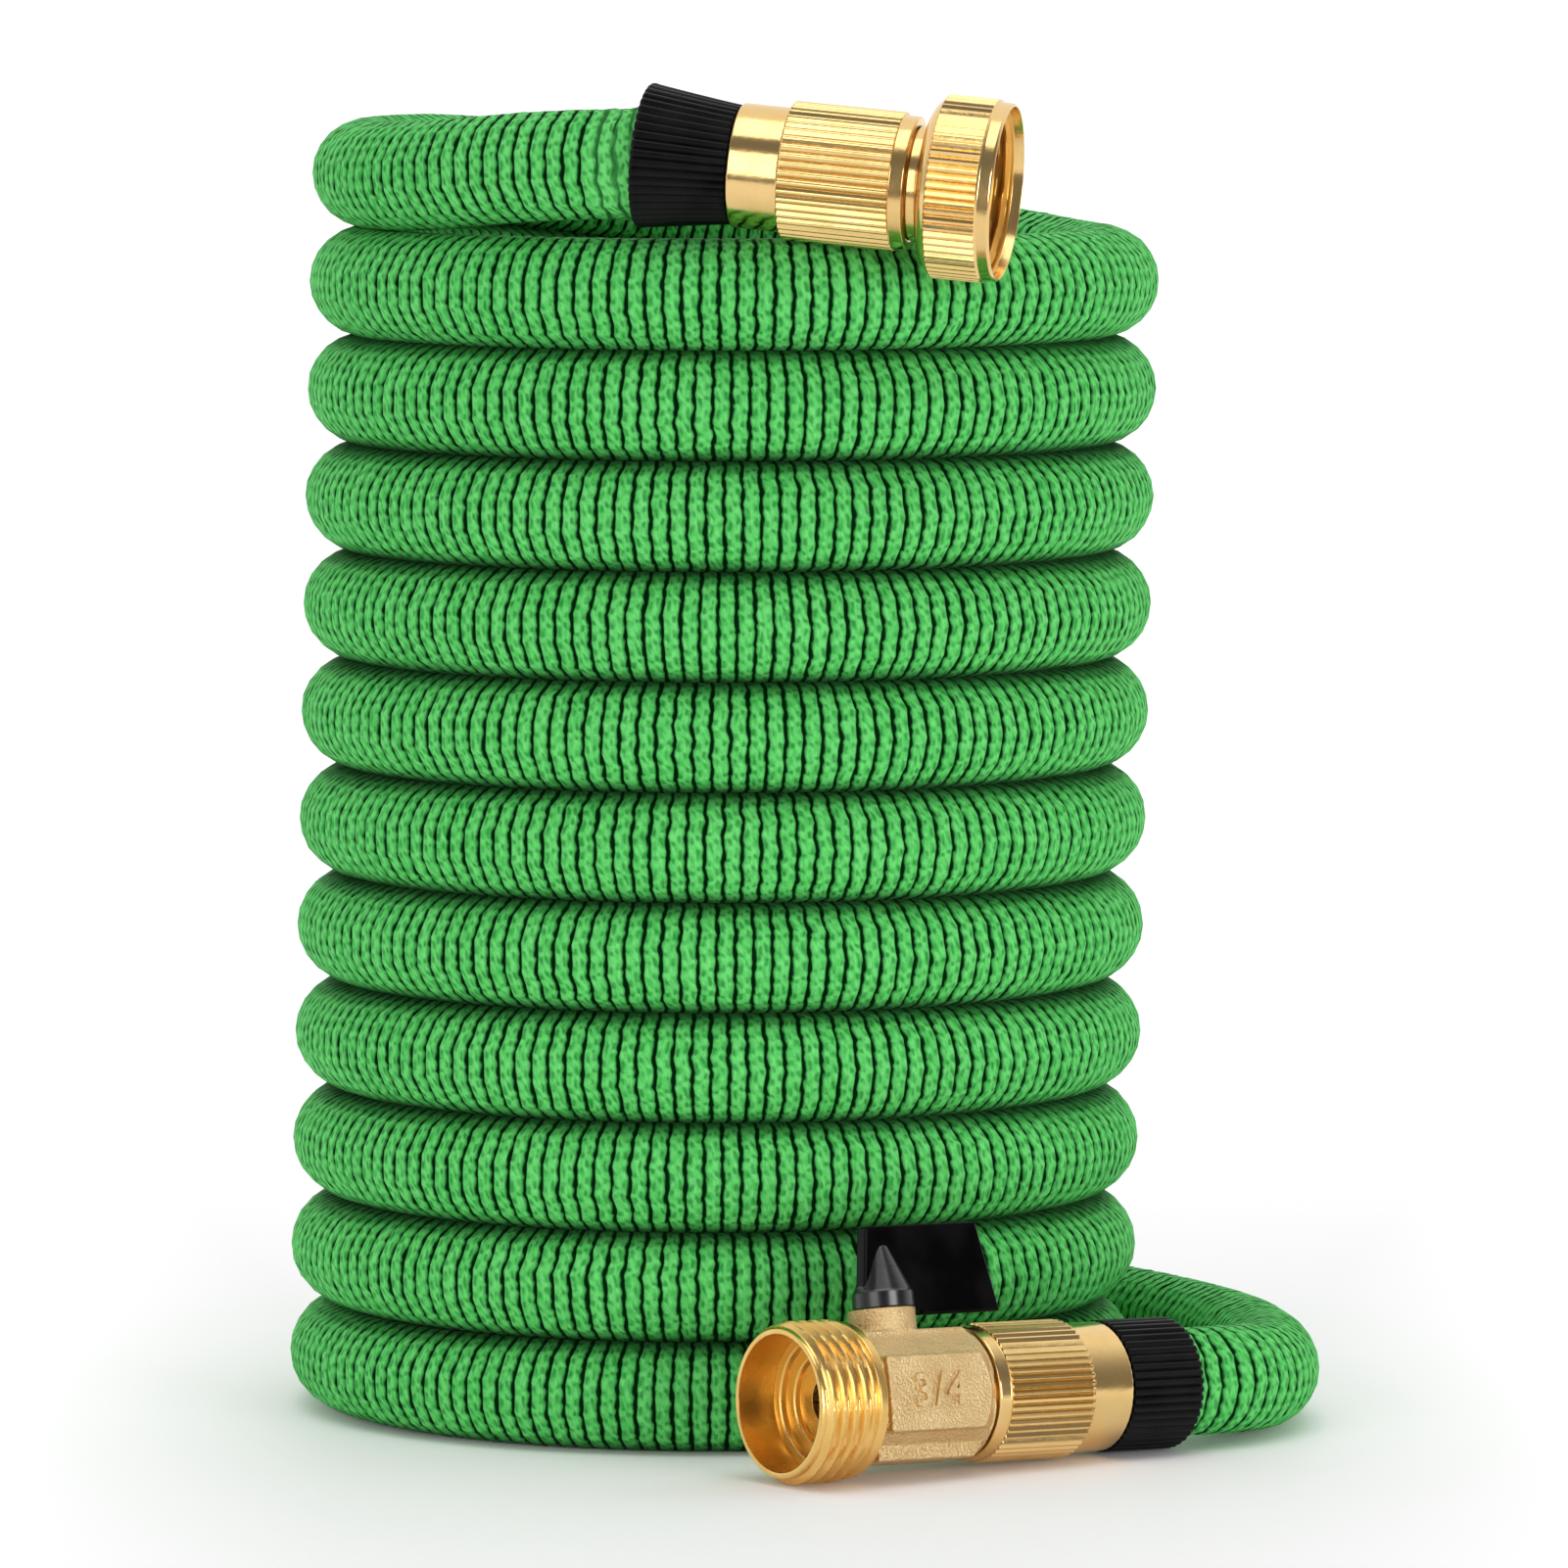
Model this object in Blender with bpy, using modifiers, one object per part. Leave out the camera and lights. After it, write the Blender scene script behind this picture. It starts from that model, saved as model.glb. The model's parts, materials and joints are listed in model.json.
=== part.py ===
# Expandable garden hose wound into a free-standing stack of turns. Its upper end has a
# swivel tap connector and its lower end a lever shut-off valve with a male thread.
# Units are metres, +Z is up, and -Y is the side that the valve and the connector lie on.

import math

import bmesh
import bpy
from mathutils import Matrix, Vector

MM = 0.001

# Gaps between pieces: touching ones, the ones that turn, and the hose in its grips
TOUCH_GAP = 0.3 * MM
RUNNING_GAP = 0.4 * MM
HOSE_FIT_GAP = 0.4 * MM
MERGE_DISTANCE = 0.01 * MM

# Hose, and the stack of turns it is wound into
HOSE_DIAMETER = 18.56 * MM
COIL_RADIUS = 64.0 * MM
COIL_TURNS = 11
COIL_LEAN_DEG = 1.27
COIL_FLAT = 1.2 * MM
COIL_CENTRE_X = -15.9 * MM
COIL_CENTRE_Y = 14.1 * MM
COIL_STEP_DEG = 12
RISE_START_DEG = 12
RISE_END_DEG = 156
OUTER_ARC_DEG = (-62, -31, 0, 31, 62)
INNER_ARC_DEG = (-55, 0, 55)

# Routes of the two free ends: angle round the coil in degrees, then distance outside the
# coil's own centre line and height above the surface below, both in hose diameters
TAP_TAIL_ROUTE = (
    (186, 0.0, 0.0), (198, 0.0, 0.0), (210, 0.0, 0.04), (222, 0.0, 0.11), (234, 0.0, 0.19),
    (244, 0.0, 0.245),
)
VALVE_TAIL_ROUTE = (
    (-27.0, 2.06, 0.05), (-20.9, 2.0, 0.015), (-14.1, 1.86, 0.005), (-6.6, 1.68, 0.0),
    (1.9, 1.49, 0.0), (10.4, 1.31, 0.0), (20.2, 1.15, 0.0), (30, 1.06, 0.0), (42, 1.045, 0.0),
    (54, 1.02, 0.0), (66, 0.985, 0.0), (78, 0.94, 0.0), (90, 0.865, 0.0), (102, 0.765, 0.0),
    (114, 0.64, 0.0), (126, 0.495, 0.0), (138, 0.33, 0.0), (150, 0.165, 0.0), (162, 0.06, 0.0),
    (172, 0.015, 0.0),
)
ROUTE_SPACING = 9.0 * MM
ROUTE_END_STEP = 2.0 * MM
LEAD_IN = 9.0 * MM

# Where the two fittings lie
TAP_START_DEG = 256.2
TAP_YAW_DEG = -11.5
TAP_DROP_DEG = 5.5
VALVE_YAW_DEG = 35.5
VALVE_COIL_GAP = 9.6 * MM
VALVE_RIM_ALONG = -52.7 * MM
VALVE_ROLL_DEG = 11.0

# Ribbed grip sleeves, and the socket in each that the hose goes into
GRIP_SOCKET_DEPTH = 6.0 * MM
TAP_GRIP_LENGTH = 16.0 * MM
TAP_GRIP_MOUTH_RADIUS = 12.25 * MM
TAP_GRIP_NECK_RADIUS = 10.05 * MM
VALVE_GRIP_LENGTH = 14.7 * MM
VALVE_GRIP_RADIUS = 11.15 * MM

# Clamp nuts: smooth collar beside the grip, fluted body, smooth ring
TAP_COLLAR_LENGTH = 8.7 * MM
TAP_COLLAR_RADIUS = 10.45 * MM
TAP_FLUTES_LENGTH = 19.0 * MM
VALVE_COLLAR_LENGTH = 8.3 * MM
VALVE_COLLAR_RADIUS = 10.9 * MM
VALVE_FLUTES_LENGTH = 17.4 * MM
CLAMP_NUT_RADIUS = 11.65 * MM
CLAMP_RING_LENGTH = 2.4 * MM
CLAMP_RING_RADIUS = 11.2 * MM
CLAMP_THREAD_RADIUS = 9.2 * MM

# Barbed stem that both fittings hold the hose on, and the water way through it
STEM_RADIUS = 5.9 * MM
WATER_WAY_RADIUS = 3.8 * MM

# Swivel nut with its female hose thread, and the tailpiece it turns on
SWIVEL_LENGTH = 13.3 * MM
SWIVEL_RIM_RADIUS = 14.95 * MM
SWIVEL_FLUTE_RADIUS = 15.4 * MM
SWIVEL_RIM_LENGTH = 2.2 * MM
SWIVEL_BACK_WALL = 2.4 * MM
SHOULDER_RADIUS = 10.6 * MM
SHOULDER_LENGTH = 1.6 * MM
NECK_RADIUS = 8.5 * MM
SEAT_FLANGE_RADIUS = 12.0 * MM
SEAT_FLANGE_LENGTH = 1.8 * MM
WASHER_THICKNESS = 2.4 * MM
WASHER_BORE_RADIUS = 6.0 * MM

# Hose thread: male crest and root, female crest and root
THREAD_PITCH = 2.209 * MM
THREAD_CREST_RADIUS = 13.5 * MM
THREAD_ROOT_RADIUS = 12.45 * MM
THREAD_PLAY = 0.2 * MM
THREAD_HALF_WIDTH = 0.9 * MM
MALE_RIDGES = 5
FEMALE_RIDGES = 2

# Valve body, rim to tail, with raised panels on its chamfered square middle
VALVE_THREAD_LENGTH = 13.0 * MM
VALVE_MIDDLE_LENGTH = 24.0 * MM
VALVE_MIDDLE_HALF = 11.05 * MM
VALVE_MIDDLE_CHAMFER = 5.05 * MM
PANEL_RISE = 0.7 * MM
PANEL_WIDTH = 11.4 * MM
PANEL_LENGTH = 20.5 * MM
MOUTH_BORE_RADIUS = 11.9 * MM
MOUTH_BORE_DEPTH = 7.3 * MM
MOUTH_STEP_RADIUS = 9.7 * MM
MOUTH_STEP_DEPTH = 8.5 * MM
MOUTH_SEAT_RADIUS = 7.3 * MM
MOUTH_SEAT_DEPTH = 9.6 * MM

# Ball, its stem, the bonnet that the stem comes out of, and the lever
BALL_RADIUS = 7.8 * MM
STEM_STATION = 23.0 * MM
SPINDLE_RADIUS = 3.0 * MM
BONNET_RADIUS = 5.7 * MM
BONNET_HEIGHT = 3.0 * MM
LEVER_HUB_RADIUS = 5.4 * MM
LEVER_HUB_TOP_RADIUS = 3.4 * MM
LEVER_HEIGHT = 13.4 * MM
LEVER_REACH_TOP = 19.4 * MM
LEVER_REACH_BOTTOM = 22.6 * MM
LEVER_THICKNESS = 2.6 * MM
LEVER_SOCKET_DEPTH = 6.5 * MM

TURN_SEGMENTS = 32
SMALL_SEGMENTS = 20

# Sizes that follow from the ones above
hoseRadius = HOSE_DIAMETER / 2
tailRadius = hoseRadius - TOUCH_GAP / 2
stackHeight = COIL_TURNS * HOSE_DIAMETER
coilLean = math.tan(math.radians(COIL_LEAN_DEG))
coilCentre = Vector((COIL_CENTRE_X, COIL_CENTRE_Y, 0))
clampBoreRadius = CLAMP_THREAD_RADIUS + TOUCH_GAP
stemBoreRadius = STEM_RADIUS + TOUCH_GAP
socketRadius = tailRadius + HOSE_FIT_GAP
panelReach = VALVE_MIDDLE_HALF + PANEL_RISE
bonnetTop = panelReach + BONNET_HEIGHT


def clear_scene():
    for obj in list(bpy.data.objects):
        bpy.data.objects.remove(obj, do_unlink=True)


def make_collection(name):
    collection = bpy.data.collections.new(name)
    bpy.context.scene.collection.children.link(collection)
    return collection


def make_material(name, colour, roughness, metallic):
    material = bpy.data.materials.new(name)
    material.use_nodes = True
    shader = material.node_tree.nodes["Principled BSDF"]
    shader.inputs["Base Color"].default_value = (*colour, 1.0)
    shader.inputs["Roughness"].default_value = roughness
    shader.inputs["Metallic"].default_value = metallic
    return material


def make_empty(name, matrix, parent=None):
    empty = bpy.data.objects.new(name, None)
    empty.empty_display_size = 10 * MM
    parts.objects.link(empty)
    empty.parent = parent
    empty.matrix_local = matrix
    return empty


def add_mesh_object(name, bm, material=None, parent=None, smooth=True):
    mesh = bpy.data.meshes.new(name)
    bm.to_mesh(mesh)
    bm.free()
    if smooth:
        mesh.shade_smooth()
        mesh.set_sharp_from_angle(angle=math.radians(35))
    obj = bpy.data.objects.new(name, mesh)
    obj.parent = parent
    if material:
        mesh.materials.append(material)
        parts.objects.link(obj)
    else:
        tools.objects.link(obj)
        obj.hide_render = True
        obj.display_type = "WIRE"
    return obj


def turned(name, outer, inner, material=None, parent=None, segments=TURN_SEGMENTS):
    # outer and inner are (height, radius) points, both from low to high; with no inner
    # side the outline starts and ends on the axis
    outline = [(radius, height) for height, radius in reversed(outer)]
    outline += [(radius, height) for height, radius in inner]
    bm = bmesh.new()
    verts = [bm.verts.new((radius, 0, height)) for radius, height in outline]
    for first, second in zip(verts, verts[1:]):
        bm.edges.new((first, second))
    if inner:
        bm.edges.new((verts[-1], verts[0]))
    obj = add_mesh_object(name, bm, material, parent, smooth=False)
    screw = obj.modifiers.new("Turn", "SCREW")
    screw.axis = "Z"
    screw.angle = math.tau
    screw.steps = segments
    screw.render_steps = segments
    screw.use_merge_vertices = True
    screw.merge_threshold = MERGE_DISTANCE
    screw.use_smooth_shade = True
    return obj


def boolean(obj, tool, operation):
    modifier = obj.modifiers.new(tool.name, "BOOLEAN")
    modifier.operation = operation
    modifier.solver = "EXACT"
    modifier.object = tool


def cross_cylinder(name, radius, start, end, station, parent):
    # A cylinder along the parent's X, crossing its Z axis at the given station
    bm = bmesh.new()
    place = Matrix.Translation(((start + end) / 2, 0, station)) @ Matrix.Rotation(math.pi / 2, 4, "Y")
    bmesh.ops.create_cone(bm, cap_ends=True, segments=SMALL_SEGMENTS, radius1=radius,
                          radius2=radius, depth=end - start, matrix=place)
    return add_mesh_object(name, bm, None, parent)


def box_tool(name, size, middle, parent, chamfer=0.0):
    bm = bmesh.new()
    place = Matrix.Translation(middle) @ Matrix.Diagonal((*size, 1.0))
    bmesh.ops.create_cube(bm, size=1.0, matrix=place)
    if chamfer:
        along = [edge for edge in bm.edges if abs(edge.verts[0].co.z - edge.verts[1].co.z) > size[2] / 2]
        bmesh.ops.bevel(bm, geom=along, offset=chamfer, segments=1, affect="EDGES")
    return add_mesh_object(name, bm, None, parent, smooth=False)


def rise_share(angle_deg):
    # How much of one pitch a turn has climbed at this angle, counted from the right-hand side
    share = (angle_deg - RISE_START_DEG) / (RISE_END_DEG - RISE_START_DEG)
    share = min(max(share, 0.0), 1.0)
    return 0.5 - 0.5 * math.cos(math.pi * share)


def coil_point(angle_deg, radius, height):
    angle = math.radians(angle_deg)
    x = radius * math.cos(angle) + coilLean * height
    return coilCentre + Vector((x, radius * math.sin(angle), height))


def coil_outline():
    # Section of the stack: a scalloped outside, a scalloped bore, and small flats at the ends
    outer = []
    inner = []
    for turn in range(COIL_TURNS):
        middle = hoseRadius + turn * HOSE_DIAMETER
        for angle in OUTER_ARC_DEG:
            side = hoseRadius * math.cos(math.radians(angle))
            lift = hoseRadius * math.sin(math.radians(angle))
            outer.append((COIL_RADIUS + side, middle + lift))
        for angle in INNER_ARC_DEG:
            side = hoseRadius * math.cos(math.radians(angle))
            lift = hoseRadius * math.sin(math.radians(angle))
            inner.append((COIL_RADIUS - side, middle + lift))
    bottom = [(COIL_RADIUS - COIL_FLAT, 0.0), (COIL_RADIUS + COIL_FLAT, 0.0)]
    top = [(COIL_RADIUS + COIL_FLAT, stackHeight), (COIL_RADIUS - COIL_FLAT, stackHeight)]
    return bottom + outer + top + list(reversed(inner))


def build_coil():
    # The section is spun once round from the left-hand side. It stays level round the front and
    # climbs one pitch round the back, so that it meets its own start one turn higher.
    bm = bmesh.new()
    verts = [bm.verts.new((-radius, 0, height)) for radius, height in coil_outline()]
    edges = [bm.edges.new((verts[i - 1], verts[i])) for i in range(len(verts))]
    section = verts + edges
    for step in range(360 // COIL_STEP_DEG):
        before = 180 + step * COIL_STEP_DEG
        after = before + COIL_STEP_DEG
        climb = HOSE_DIAMETER * (rise_share(after - 360) - rise_share(before - 360))
        spun = bmesh.ops.spin(bm, geom=section, cent=(0, 0, 0), axis=(0, 0, 1), dvec=(0, 0, climb),
                              angle=math.radians(COIL_STEP_DEG), steps=1, use_duplicate=False)
        section = spun["geom_last"]
    bmesh.ops.remove_doubles(bm, verts=bm.verts, dist=MERGE_DISTANCE)
    open_edges = [edge for edge in bm.edges if edge.is_boundary]
    bmesh.ops.holes_fill(bm, edges=open_edges, sides=0)
    bmesh.ops.transform(bm, matrix=Matrix.Shear("XY", 4, (coilLean, 0)), verts=bm.verts)
    bmesh.ops.recalc_face_normals(bm, faces=bm.faces)
    coil = add_mesh_object("hose_coil", bm, weave)
    coil.location = coilCentre
    return coil


def smooth_route(points):
    # Reads points at an even spacing from a smooth curve through the route's own points,
    # with a short first and last step so that the cut ends are square to the hose
    padded = [points[0] * 2 - points[1]] + points + [points[-1] * 2 - points[-2]]
    dense = []
    for before, start, end, after in zip(padded, padded[1:], padded[2:], padded[3:]):
        for i in range(24):
            t = i / 24
            dense.append(0.5 * (2 * start + (end - before) * t
                                + (2 * before - 5 * start + 4 * end - after) * t ** 2
                                + (3 * start - before - 3 * end + after) * t ** 3))
    dense.append(points[-1])
    reached = [0.0]
    for first, second in zip(dense, dense[1:]):
        reached.append(reached[-1] + (second - first).length)
    length = reached[-1]
    count = max(2, round((length - 2 * ROUTE_END_STEP) / ROUTE_SPACING))
    step = (length - 2 * ROUTE_END_STEP) / count
    stations = [0.0] + [ROUTE_END_STEP + i * step for i in range(count + 1)] + [length]
    route = []
    index = 0
    for station in stations:
        while index < len(dense) - 2 and reached[index + 1] < station:
            index += 1
        span = reached[index + 1] - reached[index]
        route.append(dense[index].lerp(dense[index + 1], (station - reached[index]) / span))
    return route


def build_hose_tail(name, points):
    curve = bpy.data.curves.new(name, "CURVE")
    curve.dimensions = "3D"
    curve.bevel_depth = tailRadius
    curve.bevel_resolution = 4
    curve.use_fill_caps = True
    route = smooth_route(points)
    spline = curve.splines.new("POLY")
    spline.points.add(len(route) - 1)
    for point, place in zip(spline.points, route):
        point.co = (*place, 1.0)
    spline.use_smooth = True
    curve.materials.append(weave)
    obj = bpy.data.objects.new(name, curve)
    parts.objects.link(obj)
    return obj


def route_points(route, level):
    points = []
    for angle, outward, lift in route:
        radius = COIL_RADIUS + outward * HOSE_DIAMETER
        points.append(coil_point(angle, radius, level + lift * HOSE_DIAMETER))
    return points


def build_tap_tail(hoseEnd):
    # hoseEnd is the tap connector's frame: its Z runs from the hose into the connector
    level = stackHeight + hoseRadius + TOUCH_GAP / 2
    points = [coil_point(180 + math.degrees(TOUCH_GAP / COIL_RADIUS), COIL_RADIUS, level)]
    points += route_points(TAP_TAIL_ROUTE, level)
    for station in (-LEAD_IN, 0.0, GRIP_SOCKET_DEPTH - TOUCH_GAP):
        points.append(hoseEnd @ Vector((0, 0, station)))
    return build_hose_tail("hose_tap_tail", points)


def build_valve_tail(hoseEnd):
    stations = (GRIP_SOCKET_DEPTH - TOUCH_GAP, 0.0, -LEAD_IN)
    points = [hoseEnd @ Vector((0, 0, station)) for station in stations]
    points += route_points(VALVE_TAIL_ROUTE, tailRadius)
    points.append(coil_point(180 - math.degrees(TOUCH_GAP / COIL_RADIUS), COIL_RADIUS, tailRadius))
    return build_hose_tail("hose_valve_tail", points)


def build_grip(name, length, mouthRadius, neckRadius, parent):
    # A sleeve with its hose end at the frame's origin, flared there where the radii differ
    flare = mouthRadius - neckRadius
    edge = 0.5 * MM
    outer = [(0.0, mouthRadius - edge), (edge, mouthRadius)]
    outer += [(length * share, neckRadius + flare * (1 - share) ** 2) for share in (0.25, 0.5, 0.75)]
    outer += [(length, neckRadius)]
    inner = [(0.0, socketRadius), (GRIP_SOCKET_DEPTH, socketRadius),
             (GRIP_SOCKET_DEPTH, stemBoreRadius), (length, stemBoreRadius)]
    return turned(name, outer, inner, ribbedRubber, parent)


def build_clamp_nut(name, start, collarLength, collarRadius, flutesLength, parent):
    collarEnd = start + collarLength
    flutesEnd = collarEnd + flutesLength
    end = flutesEnd + CLAMP_RING_LENGTH
    outer = [(start, collarRadius), (collarEnd, collarRadius), (collarEnd, CLAMP_NUT_RADIUS),
             (flutesEnd, CLAMP_NUT_RADIUS), (flutesEnd, CLAMP_RING_RADIUS), (end, CLAMP_RING_RADIUS)]
    inner = [(start, stemBoreRadius), (collarEnd, stemBoreRadius),
             (collarEnd, clampBoreRadius), (end, clampBoreRadius)]
    turned(name, outer, inner, brass, parent)
    return end


def build_tap_connector(frame):
    build_grip("tap_grip", TAP_GRIP_LENGTH, TAP_GRIP_MOUTH_RADIUS, TAP_GRIP_NECK_RADIUS, frame)
    nutStart = TAP_GRIP_LENGTH + TOUCH_GAP
    nutEnd = build_clamp_nut("tap_clamp_nut", nutStart, TAP_COLLAR_LENGTH, TAP_COLLAR_RADIUS,
                             TAP_FLUTES_LENGTH, frame)

    # The tailpiece runs from the hose to the sealing seat inside the swivel nut
    bossStart = nutStart + TAP_COLLAR_LENGTH + TOUCH_GAP
    shoulder = nutEnd + TOUCH_GAP
    neckStart = shoulder + SHOULDER_LENGTH
    nutBack = neckStart + RUNNING_GAP
    seatStart = nutBack + SWIVEL_BACK_WALL + RUNNING_GAP
    seatEnd = seatStart + SEAT_FLANGE_LENGTH
    outer = [(GRIP_SOCKET_DEPTH, STEM_RADIUS), (bossStart, STEM_RADIUS),
             (bossStart, CLAMP_THREAD_RADIUS), (shoulder, CLAMP_THREAD_RADIUS),
             (shoulder, SHOULDER_RADIUS), (neckStart, SHOULDER_RADIUS),
             (neckStart, NECK_RADIUS), (seatStart, NECK_RADIUS),
             (seatStart, SEAT_FLANGE_RADIUS), (seatEnd, SEAT_FLANGE_RADIUS)]
    inner = [(GRIP_SOCKET_DEPTH, WATER_WAY_RADIUS), (seatEnd, WATER_WAY_RADIUS)]
    turned("tap_tailpiece", outer, inner, brass, frame)

    # The swivel nut turns about the frame's Z; its mouth is at the far end
    mouth = nutBack + SWIVEL_LENGTH
    femaleRoot = THREAD_CREST_RADIUS + THREAD_PLAY
    femaleCrest = THREAD_ROOT_RADIUS + THREAD_PLAY
    outer = [(nutBack, SWIVEL_RIM_RADIUS), (nutBack + SWIVEL_RIM_LENGTH, SWIVEL_RIM_RADIUS),
             (nutBack + SWIVEL_RIM_LENGTH, SWIVEL_FLUTE_RADIUS),
             (mouth - SWIVEL_RIM_LENGTH, SWIVEL_FLUTE_RADIUS),
             (mouth - SWIVEL_RIM_LENGTH, SWIVEL_RIM_RADIUS), (mouth, SWIVEL_RIM_RADIUS)]
    boreStart = nutBack + SWIVEL_BACK_WALL
    inner = [(nutBack, NECK_RADIUS + RUNNING_GAP), (boreStart, NECK_RADIUS + RUNNING_GAP),
             (boreStart, femaleRoot)]
    for ridge in reversed(range(FEMALE_RIDGES)):
        middle = mouth - ridge_station(ridge)
        inner += [(middle - THREAD_HALF_WIDTH, femaleRoot), (middle, femaleCrest),
                  (middle + THREAD_HALF_WIDTH, femaleRoot)]
    inner += [(mouth, femaleRoot)]
    turned("tap_swivel_nut", outer, inner, brass, frame)

    washerStart = seatEnd + TOUCH_GAP
    washerEnd = washerStart + WASHER_THICKNESS
    outer = [(washerStart, SEAT_FLANGE_RADIUS), (washerEnd, SEAT_FLANGE_RADIUS)]
    inner = [(washerStart, WASHER_BORE_RADIUS), (washerEnd, WASHER_BORE_RADIUS)]
    turned("tap_washer", outer, inner, rubber, frame)


def ridge_station(ridge):
    # How far in from the rim each thread ridge has its crest
    return THREAD_PITCH * (ridge + 0.75)


def build_valve_body(upright, valveLength):
    # The body is turned from rim to tail; the square middle, its panels and the bonnet are added
    middleEnd = VALVE_THREAD_LENGTH + VALVE_MIDDLE_LENGTH
    stemEnd = valveLength - GRIP_SOCKET_DEPTH
    bossEnd = valveLength - VALVE_GRIP_LENGTH - TOUCH_GAP - VALVE_COLLAR_LENGTH - TOUCH_GAP
    outer = [(0.0, THREAD_ROOT_RADIUS)]
    for ridge in range(MALE_RIDGES):
        middle = ridge_station(ridge)
        outer += [(middle - THREAD_HALF_WIDTH, THREAD_ROOT_RADIUS), (middle, THREAD_CREST_RADIUS),
                  (middle + THREAD_HALF_WIDTH, THREAD_ROOT_RADIUS)]
    outer += [(VALVE_THREAD_LENGTH + 1 * MM, THREAD_ROOT_RADIUS),
              (VALVE_THREAD_LENGTH + 1 * MM, CLAMP_THREAD_RADIUS), (bossEnd, CLAMP_THREAD_RADIUS),
              (bossEnd, STEM_RADIUS), (stemEnd, STEM_RADIUS)]
    inner = [(0.0, MOUTH_BORE_RADIUS), (MOUTH_BORE_DEPTH, MOUTH_BORE_RADIUS),
             (MOUTH_BORE_DEPTH, MOUTH_STEP_RADIUS), (MOUTH_STEP_DEPTH, MOUTH_STEP_RADIUS),
             (MOUTH_STEP_DEPTH, MOUTH_SEAT_RADIUS), (MOUTH_SEAT_DEPTH, MOUTH_SEAT_RADIUS),
             (MOUTH_SEAT_DEPTH, WATER_WAY_RADIUS), (stemEnd, WATER_WAY_RADIUS)]
    body = turned("valve_body", outer, inner, castBrass, upright)

    middleAt = Vector((0, 0, VALVE_THREAD_LENGTH + VALVE_MIDDLE_LENGTH / 2))
    middleSize = (2 * VALVE_MIDDLE_HALF, 2 * VALVE_MIDDLE_HALF, VALVE_MIDDLE_LENGTH)
    middle = box_tool("valve_middle_form", middleSize, middleAt, upright, VALVE_MIDDLE_CHAMFER)
    topPanels = box_tool("valve_top_panels", (2 * panelReach, PANEL_WIDTH, PANEL_LENGTH), middleAt, upright)
    sidePanels = box_tool("valve_side_panels", (PANEL_WIDTH, 2 * panelReach, PANEL_LENGTH), middleAt, upright)
    bonnet = cross_cylinder("valve_bonnet_form", BONNET_RADIUS, 0.0, bonnetTop, STEM_STATION, upright)
    core = turned("valve_core_form", [(VALVE_THREAD_LENGTH / 2, 0.0),
                                      (VALVE_THREAD_LENGTH / 2, WATER_WAY_RADIUS),
                                      (middleEnd + 1 * MM, WATER_WAY_RADIUS), (middleEnd + 1 * MM, 0.0)],
                  [], None, upright)
    cavity = ball_tool("valve_cavity", BALL_RADIUS + RUNNING_GAP, upright)
    spindleBore = cross_cylinder("valve_spindle_bore", SPINDLE_RADIUS + RUNNING_GAP, 0.0,
                                 bonnetTop + 1 * MM, STEM_STATION, upright)
    for form in (middle, topPanels, sidePanels, bonnet):
        boolean(body, form, "UNION")
    for cutter in (core, cavity, spindleBore):
        boolean(body, cutter, "DIFFERENCE")


def ball_tool(name, radius, parent, material=None):
    bm = bmesh.new()
    bmesh.ops.create_uvsphere(bm, u_segments=SMALL_SEGMENTS, v_segments=12, radius=radius)
    ball = add_mesh_object(name, bm, material, parent)
    ball.location = (0, 0, STEM_STATION)
    return ball


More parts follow.
